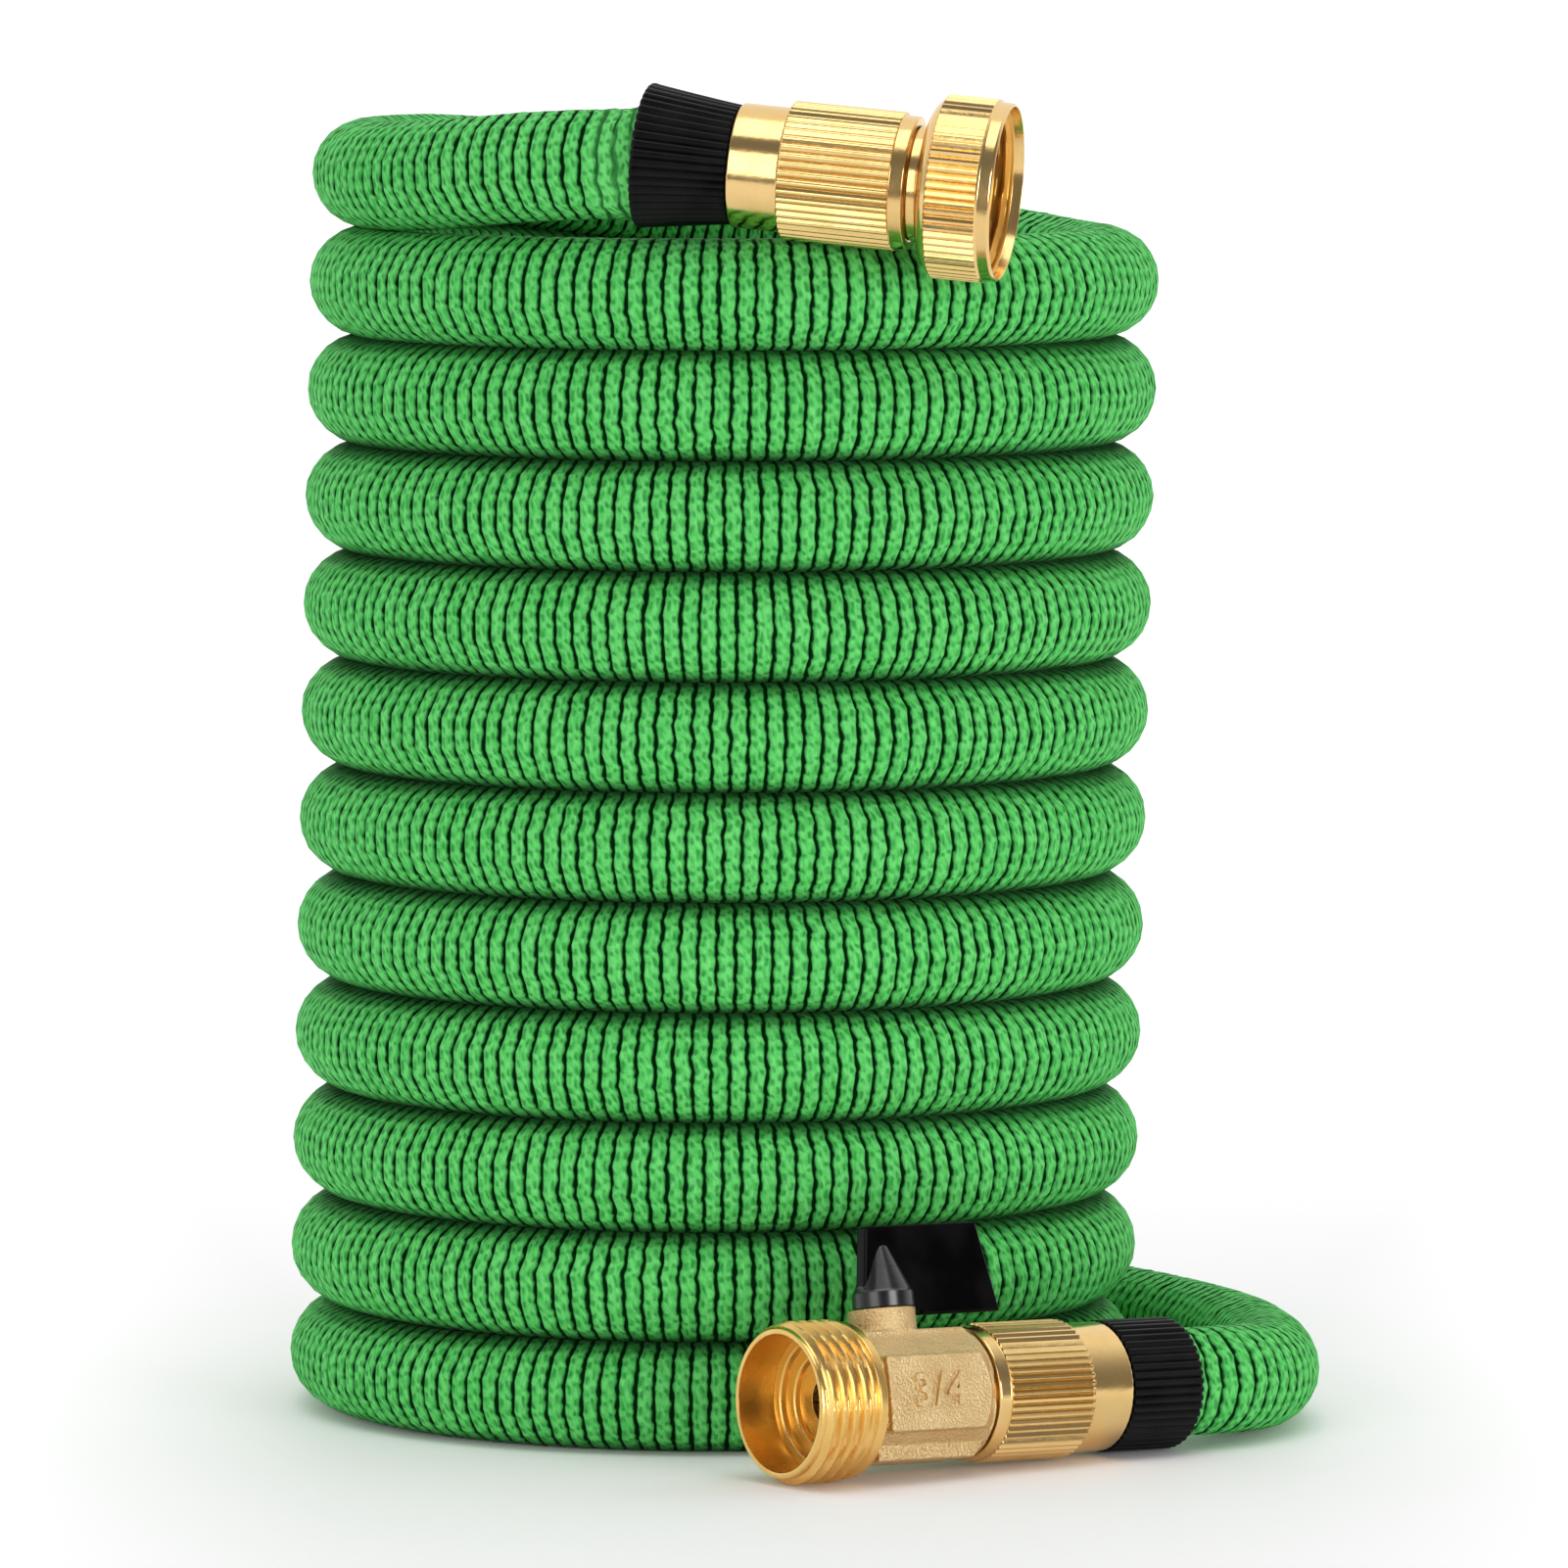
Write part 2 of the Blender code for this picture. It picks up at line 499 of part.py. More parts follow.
def build_shut_off(upright):
    # The ball, its spindle and the lever turn together about the bonnet's axis, which is
    # the upright frame's X at the stem station
    pivot = make_empty("lever_pivot", Matrix.Translation((0, 0, STEM_STATION)), upright)
    ball = ball_tool("valve_ball", BALL_RADIUS, pivot, brass)
    ball.location = (0, 0, 0)
    slotFloor = BALL_RADIUS - 1.2 * MM
    port = turned("valve_ball_port", [(-2 * BALL_RADIUS, 0.0), (-2 * BALL_RADIUS, WATER_WAY_RADIUS),
                                      (2 * BALL_RADIUS, WATER_WAY_RADIUS), (2 * BALL_RADIUS, 0.0)],
                  [], None, pivot, SMALL_SEGMENTS)
    seat = cross_cylinder("valve_ball_seat", SPINDLE_RADIUS + RUNNING_GAP, slotFloor, 2 * BALL_RADIUS, 0.0, pivot)
    boolean(ball, port, "DIFFERENCE")
    boolean(ball, seat, "DIFFERENCE")

    leverFoot = bonnetTop + RUNNING_GAP
    spindleStart = slotFloor + TOUCH_GAP
    spindleEnd = leverFoot + LEVER_SOCKET_DEPTH - TOUCH_GAP
    bm = bmesh.new()
    place = Matrix.Translation(((spindleStart + spindleEnd) / 2, 0, 0)) @ Matrix.Rotation(math.pi / 2, 4, "Y")
    bmesh.ops.create_cone(bm, cap_ends=True, segments=SMALL_SEGMENTS, radius1=SPINDLE_RADIUS,
                          radius2=SPINDLE_RADIUS, depth=spindleEnd - spindleStart, matrix=place)
    add_mesh_object("valve_spindle", bm, brass, pivot)

    # Lever: a tapered hub over the spindle and a flat blade that points along the hose
    bm = bmesh.new()
    leverTop = leverFoot + LEVER_HEIGHT
    place = Matrix.Translation(((leverFoot + leverTop) / 2, 0, 0)) @ Matrix.Rotation(math.pi / 2, 4, "Y")
    bmesh.ops.create_cone(bm, cap_ends=True, segments=SMALL_SEGMENTS, radius1=LEVER_HUB_RADIUS,
                          radius2=LEVER_HUB_TOP_RADIUS, depth=LEVER_HEIGHT, matrix=place)
    lever = add_mesh_object("valve_lever", bm, blackPlastic, pivot)
    blade = box_tool("lever_blade_form", (LEVER_HEIGHT, LEVER_THICKNESS, LEVER_REACH_BOTTOM),
                     Vector((leverFoot + LEVER_HEIGHT / 2, 0, LEVER_REACH_BOTTOM / 2)), pivot)
    for vert in blade.data.vertices:
        if vert.co.x > leverFoot + LEVER_HEIGHT / 2 and vert.co.z > LEVER_REACH_BOTTOM / 2:
            vert.co.z = LEVER_REACH_TOP
    boolean(lever, blade, "UNION")
    socket = cross_cylinder("lever_socket", SPINDLE_RADIUS + TOUCH_GAP, leverFoot - 1 * MM,
                            leverFoot + LEVER_SOCKET_DEPTH, 0.0, pivot)
    boolean(lever, socket, "DIFFERENCE")


def axis_frame(origin, yawDeg, dropDeg):
    # A frame whose Z runs level along the yaw angle, then down by the drop angle
    turn = Matrix.Rotation(math.radians(yawDeg), 4, "Z")
    tip = Matrix.Rotation(math.radians(90 + dropDeg), 4, "Y")
    return Matrix.Translation(origin) @ turn @ tip


def tap_frame():
    # The connector lies on the last full turn where its fluted body begins
    flutesStart = TAP_GRIP_LENGTH + TOUCH_GAP + TAP_COLLAR_LENGTH
    start = coil_point(TAP_START_DEG, COIL_RADIUS, stackHeight + hoseRadius)
    level = axis_frame(start, TAP_YAW_DEG, TAP_DROP_DEG)
    touch = level @ Vector((0, 0, flutesStart))
    turnCentre = coil_point(0, 0, stackHeight - hoseRadius)
    aside = math.hypot(touch.x - turnCentre.x, touch.y - turnCentre.y) - COIL_RADIUS
    reach = hoseRadius + CLAMP_NUT_RADIUS + TOUCH_GAP
    lift = turnCentre.z + math.sqrt(reach ** 2 - aside ** 2) - touch.z
    return Matrix.Translation((0, 0, lift)) @ level


def valve_frame(valveLength):
    # The valve lies on the surface beside the coil, on its last thread ridge and on its grip
    yaw = math.radians(VALVE_YAW_DEG)
    along = Vector((math.cos(yaw), math.sin(yaw), 0))
    aside = Vector((math.sin(yaw), -math.cos(yaw), 0))
    distance = COIL_RADIUS + hoseRadius + VALVE_COIL_GAP + CLAMP_NUT_RADIUS
    rim = coilCentre + aside * distance + along * VALVE_RIM_ALONG
    lastRidge = ridge_station(MALE_RIDGES - 1)
    drop = math.asin((THREAD_CREST_RADIUS - VALVE_GRIP_RADIUS) / (valveLength - lastRidge))
    rim.z = THREAD_CREST_RADIUS * math.cos(drop) + lastRidge * math.sin(drop)
    return axis_frame(rim, VALVE_YAW_DEG, math.degrees(drop))


clear_scene()
parts = make_collection("garden_hose")
tools = make_collection("cutters_and_forms")

weave = make_material("green_weave", (0.05, 0.42, 0.09), 0.7, 0.0)
brass = make_material("machined_brass", (0.86, 0.62, 0.28), 0.22, 1.0)
castBrass = make_material("cast_brass", (0.80, 0.60, 0.32), 0.4, 1.0)
ribbedRubber = make_material("grip_rubber", (0.02, 0.02, 0.022), 0.55, 0.0)
rubber = make_material("washer_rubber", (0.03, 0.03, 0.03), 0.6, 0.0)
blackPlastic = make_material("lever_plastic", (0.015, 0.015, 0.017), 0.25, 0.0)

build_coil()

tapMatrix = tap_frame()
tapFrame = make_empty("tap_frame", tapMatrix)
build_tap_tail(tapMatrix)
build_tap_connector(tapFrame)

clampLength = VALVE_COLLAR_LENGTH + VALVE_FLUTES_LENGTH + CLAMP_RING_LENGTH
valveLength = (VALVE_THREAD_LENGTH + VALVE_MIDDLE_LENGTH + TOUCH_GAP + clampLength + TOUCH_GAP
               + VALVE_GRIP_LENGTH)
valveMatrix = valve_frame(valveLength)
valveFrame = make_empty("valve_frame", valveMatrix)
uprightTurn = Matrix.Rotation(math.radians(180 - VALVE_ROLL_DEG), 4, "Z")
valveUpright = make_empty("valve_upright", uprightTurn, valveFrame)
hoseEndMatrix = Matrix.Translation((0, 0, valveLength)) @ Matrix.Rotation(math.pi, 4, "X")
valveHoseEnd = make_empty("valve_hose_end", hoseEndMatrix, valveFrame)
build_grip("valve_grip", VALVE_GRIP_LENGTH, VALVE_GRIP_RADIUS, VALVE_GRIP_RADIUS, valveHoseEnd)
build_clamp_nut("valve_clamp_nut", VALVE_GRIP_LENGTH + TOUCH_GAP, VALVE_COLLAR_LENGTH,
                VALVE_COLLAR_RADIUS, VALVE_FLUTES_LENGTH, valveHoseEnd)
build_valve_body(valveUpright, valveLength)
build_shut_off(valveUpright)
build_valve_tail(valveMatrix @ hoseEndMatrix)
bpy.context.view_layer.update()
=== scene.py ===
import json
import math
from functools import partial

import bmesh
import bpy
import numpy as np
from mathutils import Matrix, Vector

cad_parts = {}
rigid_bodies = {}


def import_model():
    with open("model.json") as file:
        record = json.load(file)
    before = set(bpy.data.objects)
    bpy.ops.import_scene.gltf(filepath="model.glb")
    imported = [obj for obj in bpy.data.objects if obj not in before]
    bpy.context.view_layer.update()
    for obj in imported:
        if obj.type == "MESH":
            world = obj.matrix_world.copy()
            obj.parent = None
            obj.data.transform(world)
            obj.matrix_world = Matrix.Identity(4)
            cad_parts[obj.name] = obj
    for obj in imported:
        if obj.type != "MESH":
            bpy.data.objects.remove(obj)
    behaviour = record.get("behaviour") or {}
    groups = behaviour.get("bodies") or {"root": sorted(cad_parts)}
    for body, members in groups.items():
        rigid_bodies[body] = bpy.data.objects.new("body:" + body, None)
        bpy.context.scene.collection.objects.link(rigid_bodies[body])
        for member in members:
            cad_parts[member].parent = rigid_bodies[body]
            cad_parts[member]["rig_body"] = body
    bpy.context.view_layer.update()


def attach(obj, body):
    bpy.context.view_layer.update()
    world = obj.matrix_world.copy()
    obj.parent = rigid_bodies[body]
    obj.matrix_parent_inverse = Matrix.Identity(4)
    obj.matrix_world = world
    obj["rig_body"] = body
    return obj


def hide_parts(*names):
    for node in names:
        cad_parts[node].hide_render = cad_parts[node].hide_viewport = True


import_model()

mm = 0.001


def wire(tree, source, target):
    # The source is a number, a colour or another node's output
    if isinstance(source, (int, float, tuple)):
        target.default_value = source
    else:
        tree.links.new(source, target)


def calc(tree, operation, a, b=None, c=None, clamp=False):
    node = tree.nodes.new("ShaderNodeMath")
    node.operation = operation
    node.use_clamp = clamp
    for value, socket in zip((a, b, c), node.inputs):
        if value is not None:
            wire(tree, value, socket)
    return node.outputs[0]


def blendColours(tree, share, first, second):
    node = tree.nodes.new("ShaderNodeMix")
    node.data_type = "RGBA"
    wire(tree, share, node.inputs[0])
    wire(tree, first, node.inputs[6])
    wire(tree, second, node.inputs[7])
    return node.outputs[2]


def ease(tree, value, low, high, start=0.0, end=1.0):
    node = tree.nodes.new("ShaderNodeMapRange")
    node.interpolation_type = "SMOOTHSTEP"
    for source, socket in zip((value, low, high, start, end), node.inputs):
        wire(tree, source, socket)
    return node.outputs[0]


def speckle(tree, vector, scale, detail=2.0, roughness=0.5):
    node = tree.nodes.new("ShaderNodeTexNoise")
    wire(tree, scale, node.inputs["Scale"])
    node.inputs["Detail"].default_value = detail
    node.inputs["Roughness"].default_value = roughness
    wire(tree, vector, node.inputs["Vector"])
    return node.outputs["Fac"]


def reliefNormal(tree, height, distance):
    node = tree.nodes.new("ShaderNodeBump")
    node.inputs["Distance"].default_value = distance
    wire(tree, height, node.inputs["Height"])
    return node.outputs["Normal"]


def emptyMaterial(name, roughness, metallic=0.0, specular=0.5):
    material = bpy.data.materials.new(name)
    material.use_nodes = True
    shader = material.node_tree.nodes["Principled BSDF"]
    shader.inputs["Roughness"].default_value = roughness
    shader.inputs["Metallic"].default_value = metallic
    shader.inputs["Specular IOR Level"].default_value = specular
    return material, material.node_tree, shader


def objectCoords(tree):
    return tree.nodes.new("ShaderNodeTexCoord").outputs["Object"]


def finishMaterial(tree, shader, colour, roughness, height, gritDepth):
    wire(tree, colour, shader.inputs["Base Color"])
    wire(tree, roughness, shader.inputs["Roughness"])
    wire(tree, reliefNormal(tree, height, gritDepth), shader.inputs["Normal"])


studio = {
    "lookAt": (-3.0, 14.1, 107.5),  # mm, the point in the middle of the picture
    "distance": 2037.0,  # mm, from the camera to that point
    "elevation": 4.7,  # degrees above level
    "focalPixels": 12000.0,  # focal length in pixels of the picture
    "pictureWidth": 1601,
    "sensorWidth": 36.0,  # mm
    "floorReach": 30.0,  # m, behind the hose and to both sides
    "floorFront": 0.49,  # m, in front of the hose
    "floorColour": (0.97, 0.955, 0.97, 1),
    "floorGlow": (0.046, 0.046, 0.046, 1),
    "floorFinish": (0.6, 0.2),  # roughness and specular
    "fade": (0.0, 0.60),  # m behind the hose, where the floor turns pure white
    "clearHalf": 0.070,  # m to each side where it doesn't fade
    "sideFade": 6.0,  # how much faster it fades sideways
    "frontLight": 0.19,  # light that the dark room in front sends back
    "ceilingLight": 0.60,
    "ceilingRamp": (0.80, 0.90),  # height of a direction, where the ceiling starts
    "backLight": 1.0,  # light of the white backdrop
    "backRamp": (-0.30, 0.40),  # depth of a direction, where the backdrop starts
    "lightsAimAt": (0.0, 0.0, 0.1),  # m
}


def addObject(name, data):
    obj = bpy.data.objects.new(name, data)
    bpy.context.scene.collection.objects.link(obj)
    return obj


def aim(obj, direction):
    obj.rotation_mode = "QUATERNION"
    obj.rotation_quaternion = direction.to_track_quat("-Z", "Y")


def buildCamera():
    data = bpy.data.cameras.new("photoCamera")
    data.sensor_width = studio["sensorWidth"]
    data.lens = studio["focalPixels"] / studio["pictureWidth"] * studio["sensorWidth"]
    data.clip_start = 0.1
    data.clip_end = 200
    camera = addObject("photoCamera", data)
    tilt = math.radians(studio["elevation"])
    lookAt = Vector(studio["lookAt"]) * mm
    back = Vector((0, -math.cos(tilt), math.sin(tilt)))
    camera.location = lookAt + back * studio["distance"] * mm
    aim(camera, -back)
    bpy.context.scene.camera = camera


def buildFloor():
    # A pale table that glows a little and turns pure white towards the backdrop
    roughness, specular = studio["floorFinish"]
    material, tree, shader = emptyMaterial("paleFloor", roughness, 0.0, specular)
    split = tree.nodes.new("ShaderNodeSeparateXYZ")
    wire(tree, objectCoords(tree), split.inputs[0])
    aside = calc(tree, "SUBTRACT", calc(tree, "ABSOLUTE", split.outputs["X"]), studio["clearHalf"])
    away = calc(tree, "MAXIMUM", split.outputs["Y"], calc(tree, "MULTIPLY", aside, studio["sideFade"]))
    far = ease(tree, away, *studio["fade"])
    colour = blendColours(tree, far, studio["floorColour"], (0, 0, 0, 1))
    wire(tree, colour, shader.inputs["Base Color"])
    glow = blendColours(tree, far, studio["floorGlow"], (1, 1, 1, 1))
    wire(tree, glow, shader.inputs["Emission Color"])
    shader.inputs["Emission Strength"].default_value = 1.0
    reach, front = studio["floorReach"], studio["floorFront"]
    mesh = bpy.data.meshes.new("studioFloor")
    mesh.from_pydata([(-reach, -front, 0), (reach, -front, 0), (reach, reach, 0), (-reach, reach, 0)], [],
                     [(0, 1, 2, 3)])
    mesh.materials.append(material)
    addObject("studioFloor", mesh)


def buildWorld():
    # White backdrop behind, a dark room in front and a pale ceiling
    world = bpy.data.worlds.new("studioWorld")
    world.use_nodes = True
    bpy.context.scene.world = world
    tree = world.node_tree
    tree.nodes.clear()
    kinds = ("OutputWorld", "Background", "Background", "MixShader", "LightPath", "TexCoord", "SeparateXYZ")
    output, shade, seen, pick, path, coords, split = [tree.nodes.new("ShaderNode" + kind) for kind in kinds]
    wire(tree, coords.outputs["Generated"], split.inputs[0])
    backward = ease(tree, split.outputs["Y"], *studio["backRamp"], studio["frontLight"], studio["backLight"])
    ceiling = ease(tree, split.outputs["Z"], *studio["ceilingRamp"], studio["frontLight"],
                   studio["ceilingLight"])
    strength = calc(tree, "MAXIMUM", backward, ceiling)
    wire(tree, strength, shade.inputs["Strength"])
    for background in (shade, seen):
        background.inputs["Color"].default_value = (1, 1, 1, 1)
    wire(tree, path.outputs["Is Camera Ray"], pick.inputs["Fac"])
    wire(tree, shade.outputs[0], pick.inputs[1])
    wire(tree, seen.outputs[0], pick.inputs[2])
    wire(tree, pick.outputs[0], output.inputs["Surface"])


softboxes = [
    # name, place in m, size in m, power in W
    ("keyBox", (1.22, -1.60, 0.30), (0.9, 0.95), 16),
    ("fillBox", (-1.15, -1.75, 0.48), (1.2, 1.62), 14),
    ("topBox", (0.0, -0.35, 2.1), (1.8, 1.4), 12),
]


def buildLights():
    for name, place, size, power in softboxes:
        data = bpy.data.lights.new(name, "AREA")
        data.shape = "RECTANGLE"
        data.size, data.size_y = size
        data.energy = power
        light = addObject(name, data)
        light.location = place
        aim(light, Vector(studio["lightsAimAt"]) - Vector(place))


buildCamera()
buildFloor()
buildWorld()
buildLights()
bpy.context.scene.view_settings.view_transform = "Standard"
bpy.context.scene.view_settings.look = "None"
print("stage: camera, floor and lights are in place")


def axisFrame(origin, yaw, drop):
    # Z runs level along the yaw angle, then down by the drop angle, both in degrees
    turn = Matrix.Rotation(math.radians(yaw), 4, "Z")
    tip = Matrix.Rotation(math.radians(90 + drop), 4, "Y")
    return Matrix.Translation(origin) @ turn @ tip


hose = {
    "diameter": 18.56,  # mm, over the ribs
    "tailDiameter": 18.26,  # mm, of the two free ends
    "coilRadius": 64.0,  # mm, to the hose's own centre
    "coilTurns": 11,
    "coilLean": 1.27,  # degrees, the stack's top leans to the right
    "coilCentre": (-15.9, 14.1),  # mm
    "coilStart": 180,  # degrees
    "coilStep": 6,  # degrees between two points of the route
    "spanSteps": 12,  # finer points to each of these
    "riseStart": 12,  # degrees, where a turn starts to climb to the next
    "riseEnd": 156,
    # the free ends: degrees round the coil, then how far out and up, in hose diameters
    "tapRoute": [(186, 0.0, 0.0), (198, 0.0, 0.0), (210, 0.0, 0.015), (222, 0.0, 0.06),
                 (234, 0.0, 0.12), (245, 0.0, 0.16)],
    "valveRoute": [(-27.0, 2.06, 0.05), (-20.9, 2.0, 0.015), (-14.1, 1.86, 0.005),
                   (-6.6, 1.68, 0.0), (1.9, 1.49, 0.0), (10.4, 1.31, 0.0), (20.2, 1.15, 0.0),
                   (30, 1.06, 0.0), (42, 1.045, 0.0), (54, 1.02, 0.0), (66, 0.985, 0.0),
                   (78, 0.94, 0.0), (90, 0.865, 0.0), (102, 0.765, 0.0), (114, 0.64, 0.0),
                   (126, 0.495, 0.0), (138, 0.33, 0.0), (150, 0.165, 0.0), (162, 0.06, 0.0),
                   (172, 0.015, 0.0)],
    "leadIn": 9.0,  # mm of straight hose before the valve's grip
    "tapSag": 1.3,  # mm that the hose hangs low in the mouth of the tap's grip
    "socketReach": 5.7,  # mm that the hose goes into each grip
    "tapOrigin": (-26.434, -48.053, 218.166),
    "tapYaw": -11.5,
    "tapDrop": 5.5,
    "valveRim": (-3.910, -93.461, 13.845),
    "valveYaw": 35.5,
    "valveDrop": 1.926,
    "valveLength": 80.4,
    "thickens": (0.36, 0.42),  # m from the valve's grip, from the tail's to the full diameter
    "thins": (0.13, 0.08),  # m before the tap's grip
    "ribPitch": 2.745,  # mm along the hose's centre line
    "ribDepth": 0.72,
    "ribWobble": 0.18,
    "waveDrift": (0.75, 0.45),  # mean and spread of the wobble from rib to rib
    "driftRibs": (5, 9),  # ribs that share a wobble, and ribs that it is evened out over
    "grooveShare": 0.155,  # of the pitch, on each side of a groove's bottom
    "looseness": 0.06,  # mm, uneven yarn
    "swell": 0.04,  # mm, uneven thickness
    "pressedIn": 0.16,  # mm, of each turn into the next one
    "bunchedRibs": 3.5,  # loose, bunched ribs next to the tap's grip
    "bunchedMore": 2.5,  # how much looser they are
    "outerPoints": 12,  # points round the hose on the side that faces out
    "outerHalf": 96,  # degrees, half of that side
    "innerPoints": 6,
    "seed": 7,
}
tapFrame = axisFrame(Vector(hose["tapOrigin"]), hose["tapYaw"], hose["tapDrop"])
valveFrame = axisFrame(Vector(hose["valveRim"]), hose["valveYaw"], hose["valveDrop"])


def riseShare(angle):
    share = (angle - hose["riseStart"]) / (hose["riseEnd"] - hose["riseStart"])
    share = min(max(share, 0.0), 1.0)
    return 0.5 - 0.5 * math.cos(math.pi * share)


def coilPoint(angle, radius, height):
    turn = math.radians(angle)
    lean = math.tan(math.radians(hose["coilLean"])) * height
    x, y = hose["coilCentre"]
    return Vector((x + radius * math.cos(turn) + lean, y + radius * math.sin(turn), height))


def routeControls():
    # From the valve's grip, round behind the coil, up its eleven turns, to the tap's grip
    diameter = hose["diameter"]
    tailRadius = hose["tailDiameter"] / 2
    controls = []
    for station in (-hose["socketReach"], 0.0, hose["leadIn"]):
        controls.append(valveFrame @ Vector((0, 0, hose["valveLength"] + station)))
    for angle, outward, lift in hose["valveRoute"]:
        height = tailRadius + lift * diameter
        controls.append(coilPoint(angle, hose["coilRadius"] + outward * diameter, height))
    start, turns = hose["coilStart"], hose["coilTurns"]
    for angle in range(start, start + turns * 360 + 1, hose["coilStep"]):
        height = diameter / 2
        for turn in range(1, turns + 1):
            height += diameter * riseShare(angle - 360 * turn)
        controls.append(coilPoint(angle, hose["coilRadius"], height))
    topLevel = diameter * (turns + 0.5)
    for angle, outward, lift in hose["tapRoute"]:
        controls.append(coilPoint(angle, hose["coilRadius"], topLevel + lift * diameter))
    for station, sag in ((0.0, hose["tapSag"]), (hose["socketReach"], 0.0)):
        controls.append(tapFrame @ Vector((0, 0, station)) - Vector((0, 0, sag)))
    return [p * mm for p in controls]


def smoothRoute(points, perSpan):
    # A smooth curve through the points. Its slopes allow for uneven gaps between them.
    p = np.array([list(point) for point in points])
    gaps = np.linalg.norm(np.diff(p, axis=0), axis=1)
    speeds = np.diff(p, axis=0) / gaps[:, None]
    slopes = np.vstack([speeds[:1], speeds[:-1], speeds[-1:]])[:len(p)]
    shares = (gaps[:-1] / (gaps[:-1] + gaps[1:]))[:, None]
    slopes[1:-1] = speeds[:-1] * (1 - shares) + speeds[1:] * shares
    slopes[-1] = speeds[-1]
    dense = []
    for i in range(len(gaps)):
        t = (np.arange(perSpan) / perSpan)[:, None]
        dense.append((2 * t ** 3 - 3 * t ** 2 + 1) * p[i] + (t ** 3 - 2 * t ** 2 + t) * gaps[i] * slopes[i]
                     + (3 * t ** 2 - 2 * t ** 3) * p[i + 1] + (t ** 3 - t ** 2) * gaps[i] * slopes[i + 1])
    return np.vstack(dense + [p[-1:]])


def unitRows(rows):
    return rows / np.linalg.norm(rows, axis=1)[:, None]


def squareTo(rows, along):
    return unitRows(rows - along * np.sum(rows * along, axis=1)[:, None])


class HoseRoute:
    # The centre line by distance along it, with a direction and a side away from the coil's axis
    def __init__(self, points):
        self.points = points
        steps = np.linalg.norm(np.diff(points, axis=0), axis=1)
        self.reached = np.concatenate([[0.0], np.cumsum(steps)])
        self.length = float(self.reached[-1])
        self.tangents = unitRows(np.gradient(points, self.reached, axis=0))
        self.sides = self.outwardSides()

    def outwardSides(self):
        lean = math.tan(math.radians(hose["coilLean"]))
        axisX = hose["coilCentre"][0] * mm + lean * self.points[:, 2]
        axisY = hose["coilCentre"][1] * mm
        outward = np.stack([self.points[:, 0] - axisX, self.points[:, 1] - axisY,
                            np.zeros(len(self.points))], axis=1)
        return squareTo(outward, self.tangents)

    def at(self, distance):
        place, ahead, side = [
            np.stack([np.interp(distance, self.reached, rows[:, i]) for i in range(3)], axis=1)
            for rows in (self.points, self.tangents, self.sides)]
        ahead = unitRows(ahead)
        return place, ahead, squareTo(side, ahead)


route = HoseRoute(smoothRoute(routeControls(), hose["spanSteps"]))
ribCount = int(route.length / (hose["ribPitch"] * mm))
print(f"stage: hose route is {route.length:.3f} m long")


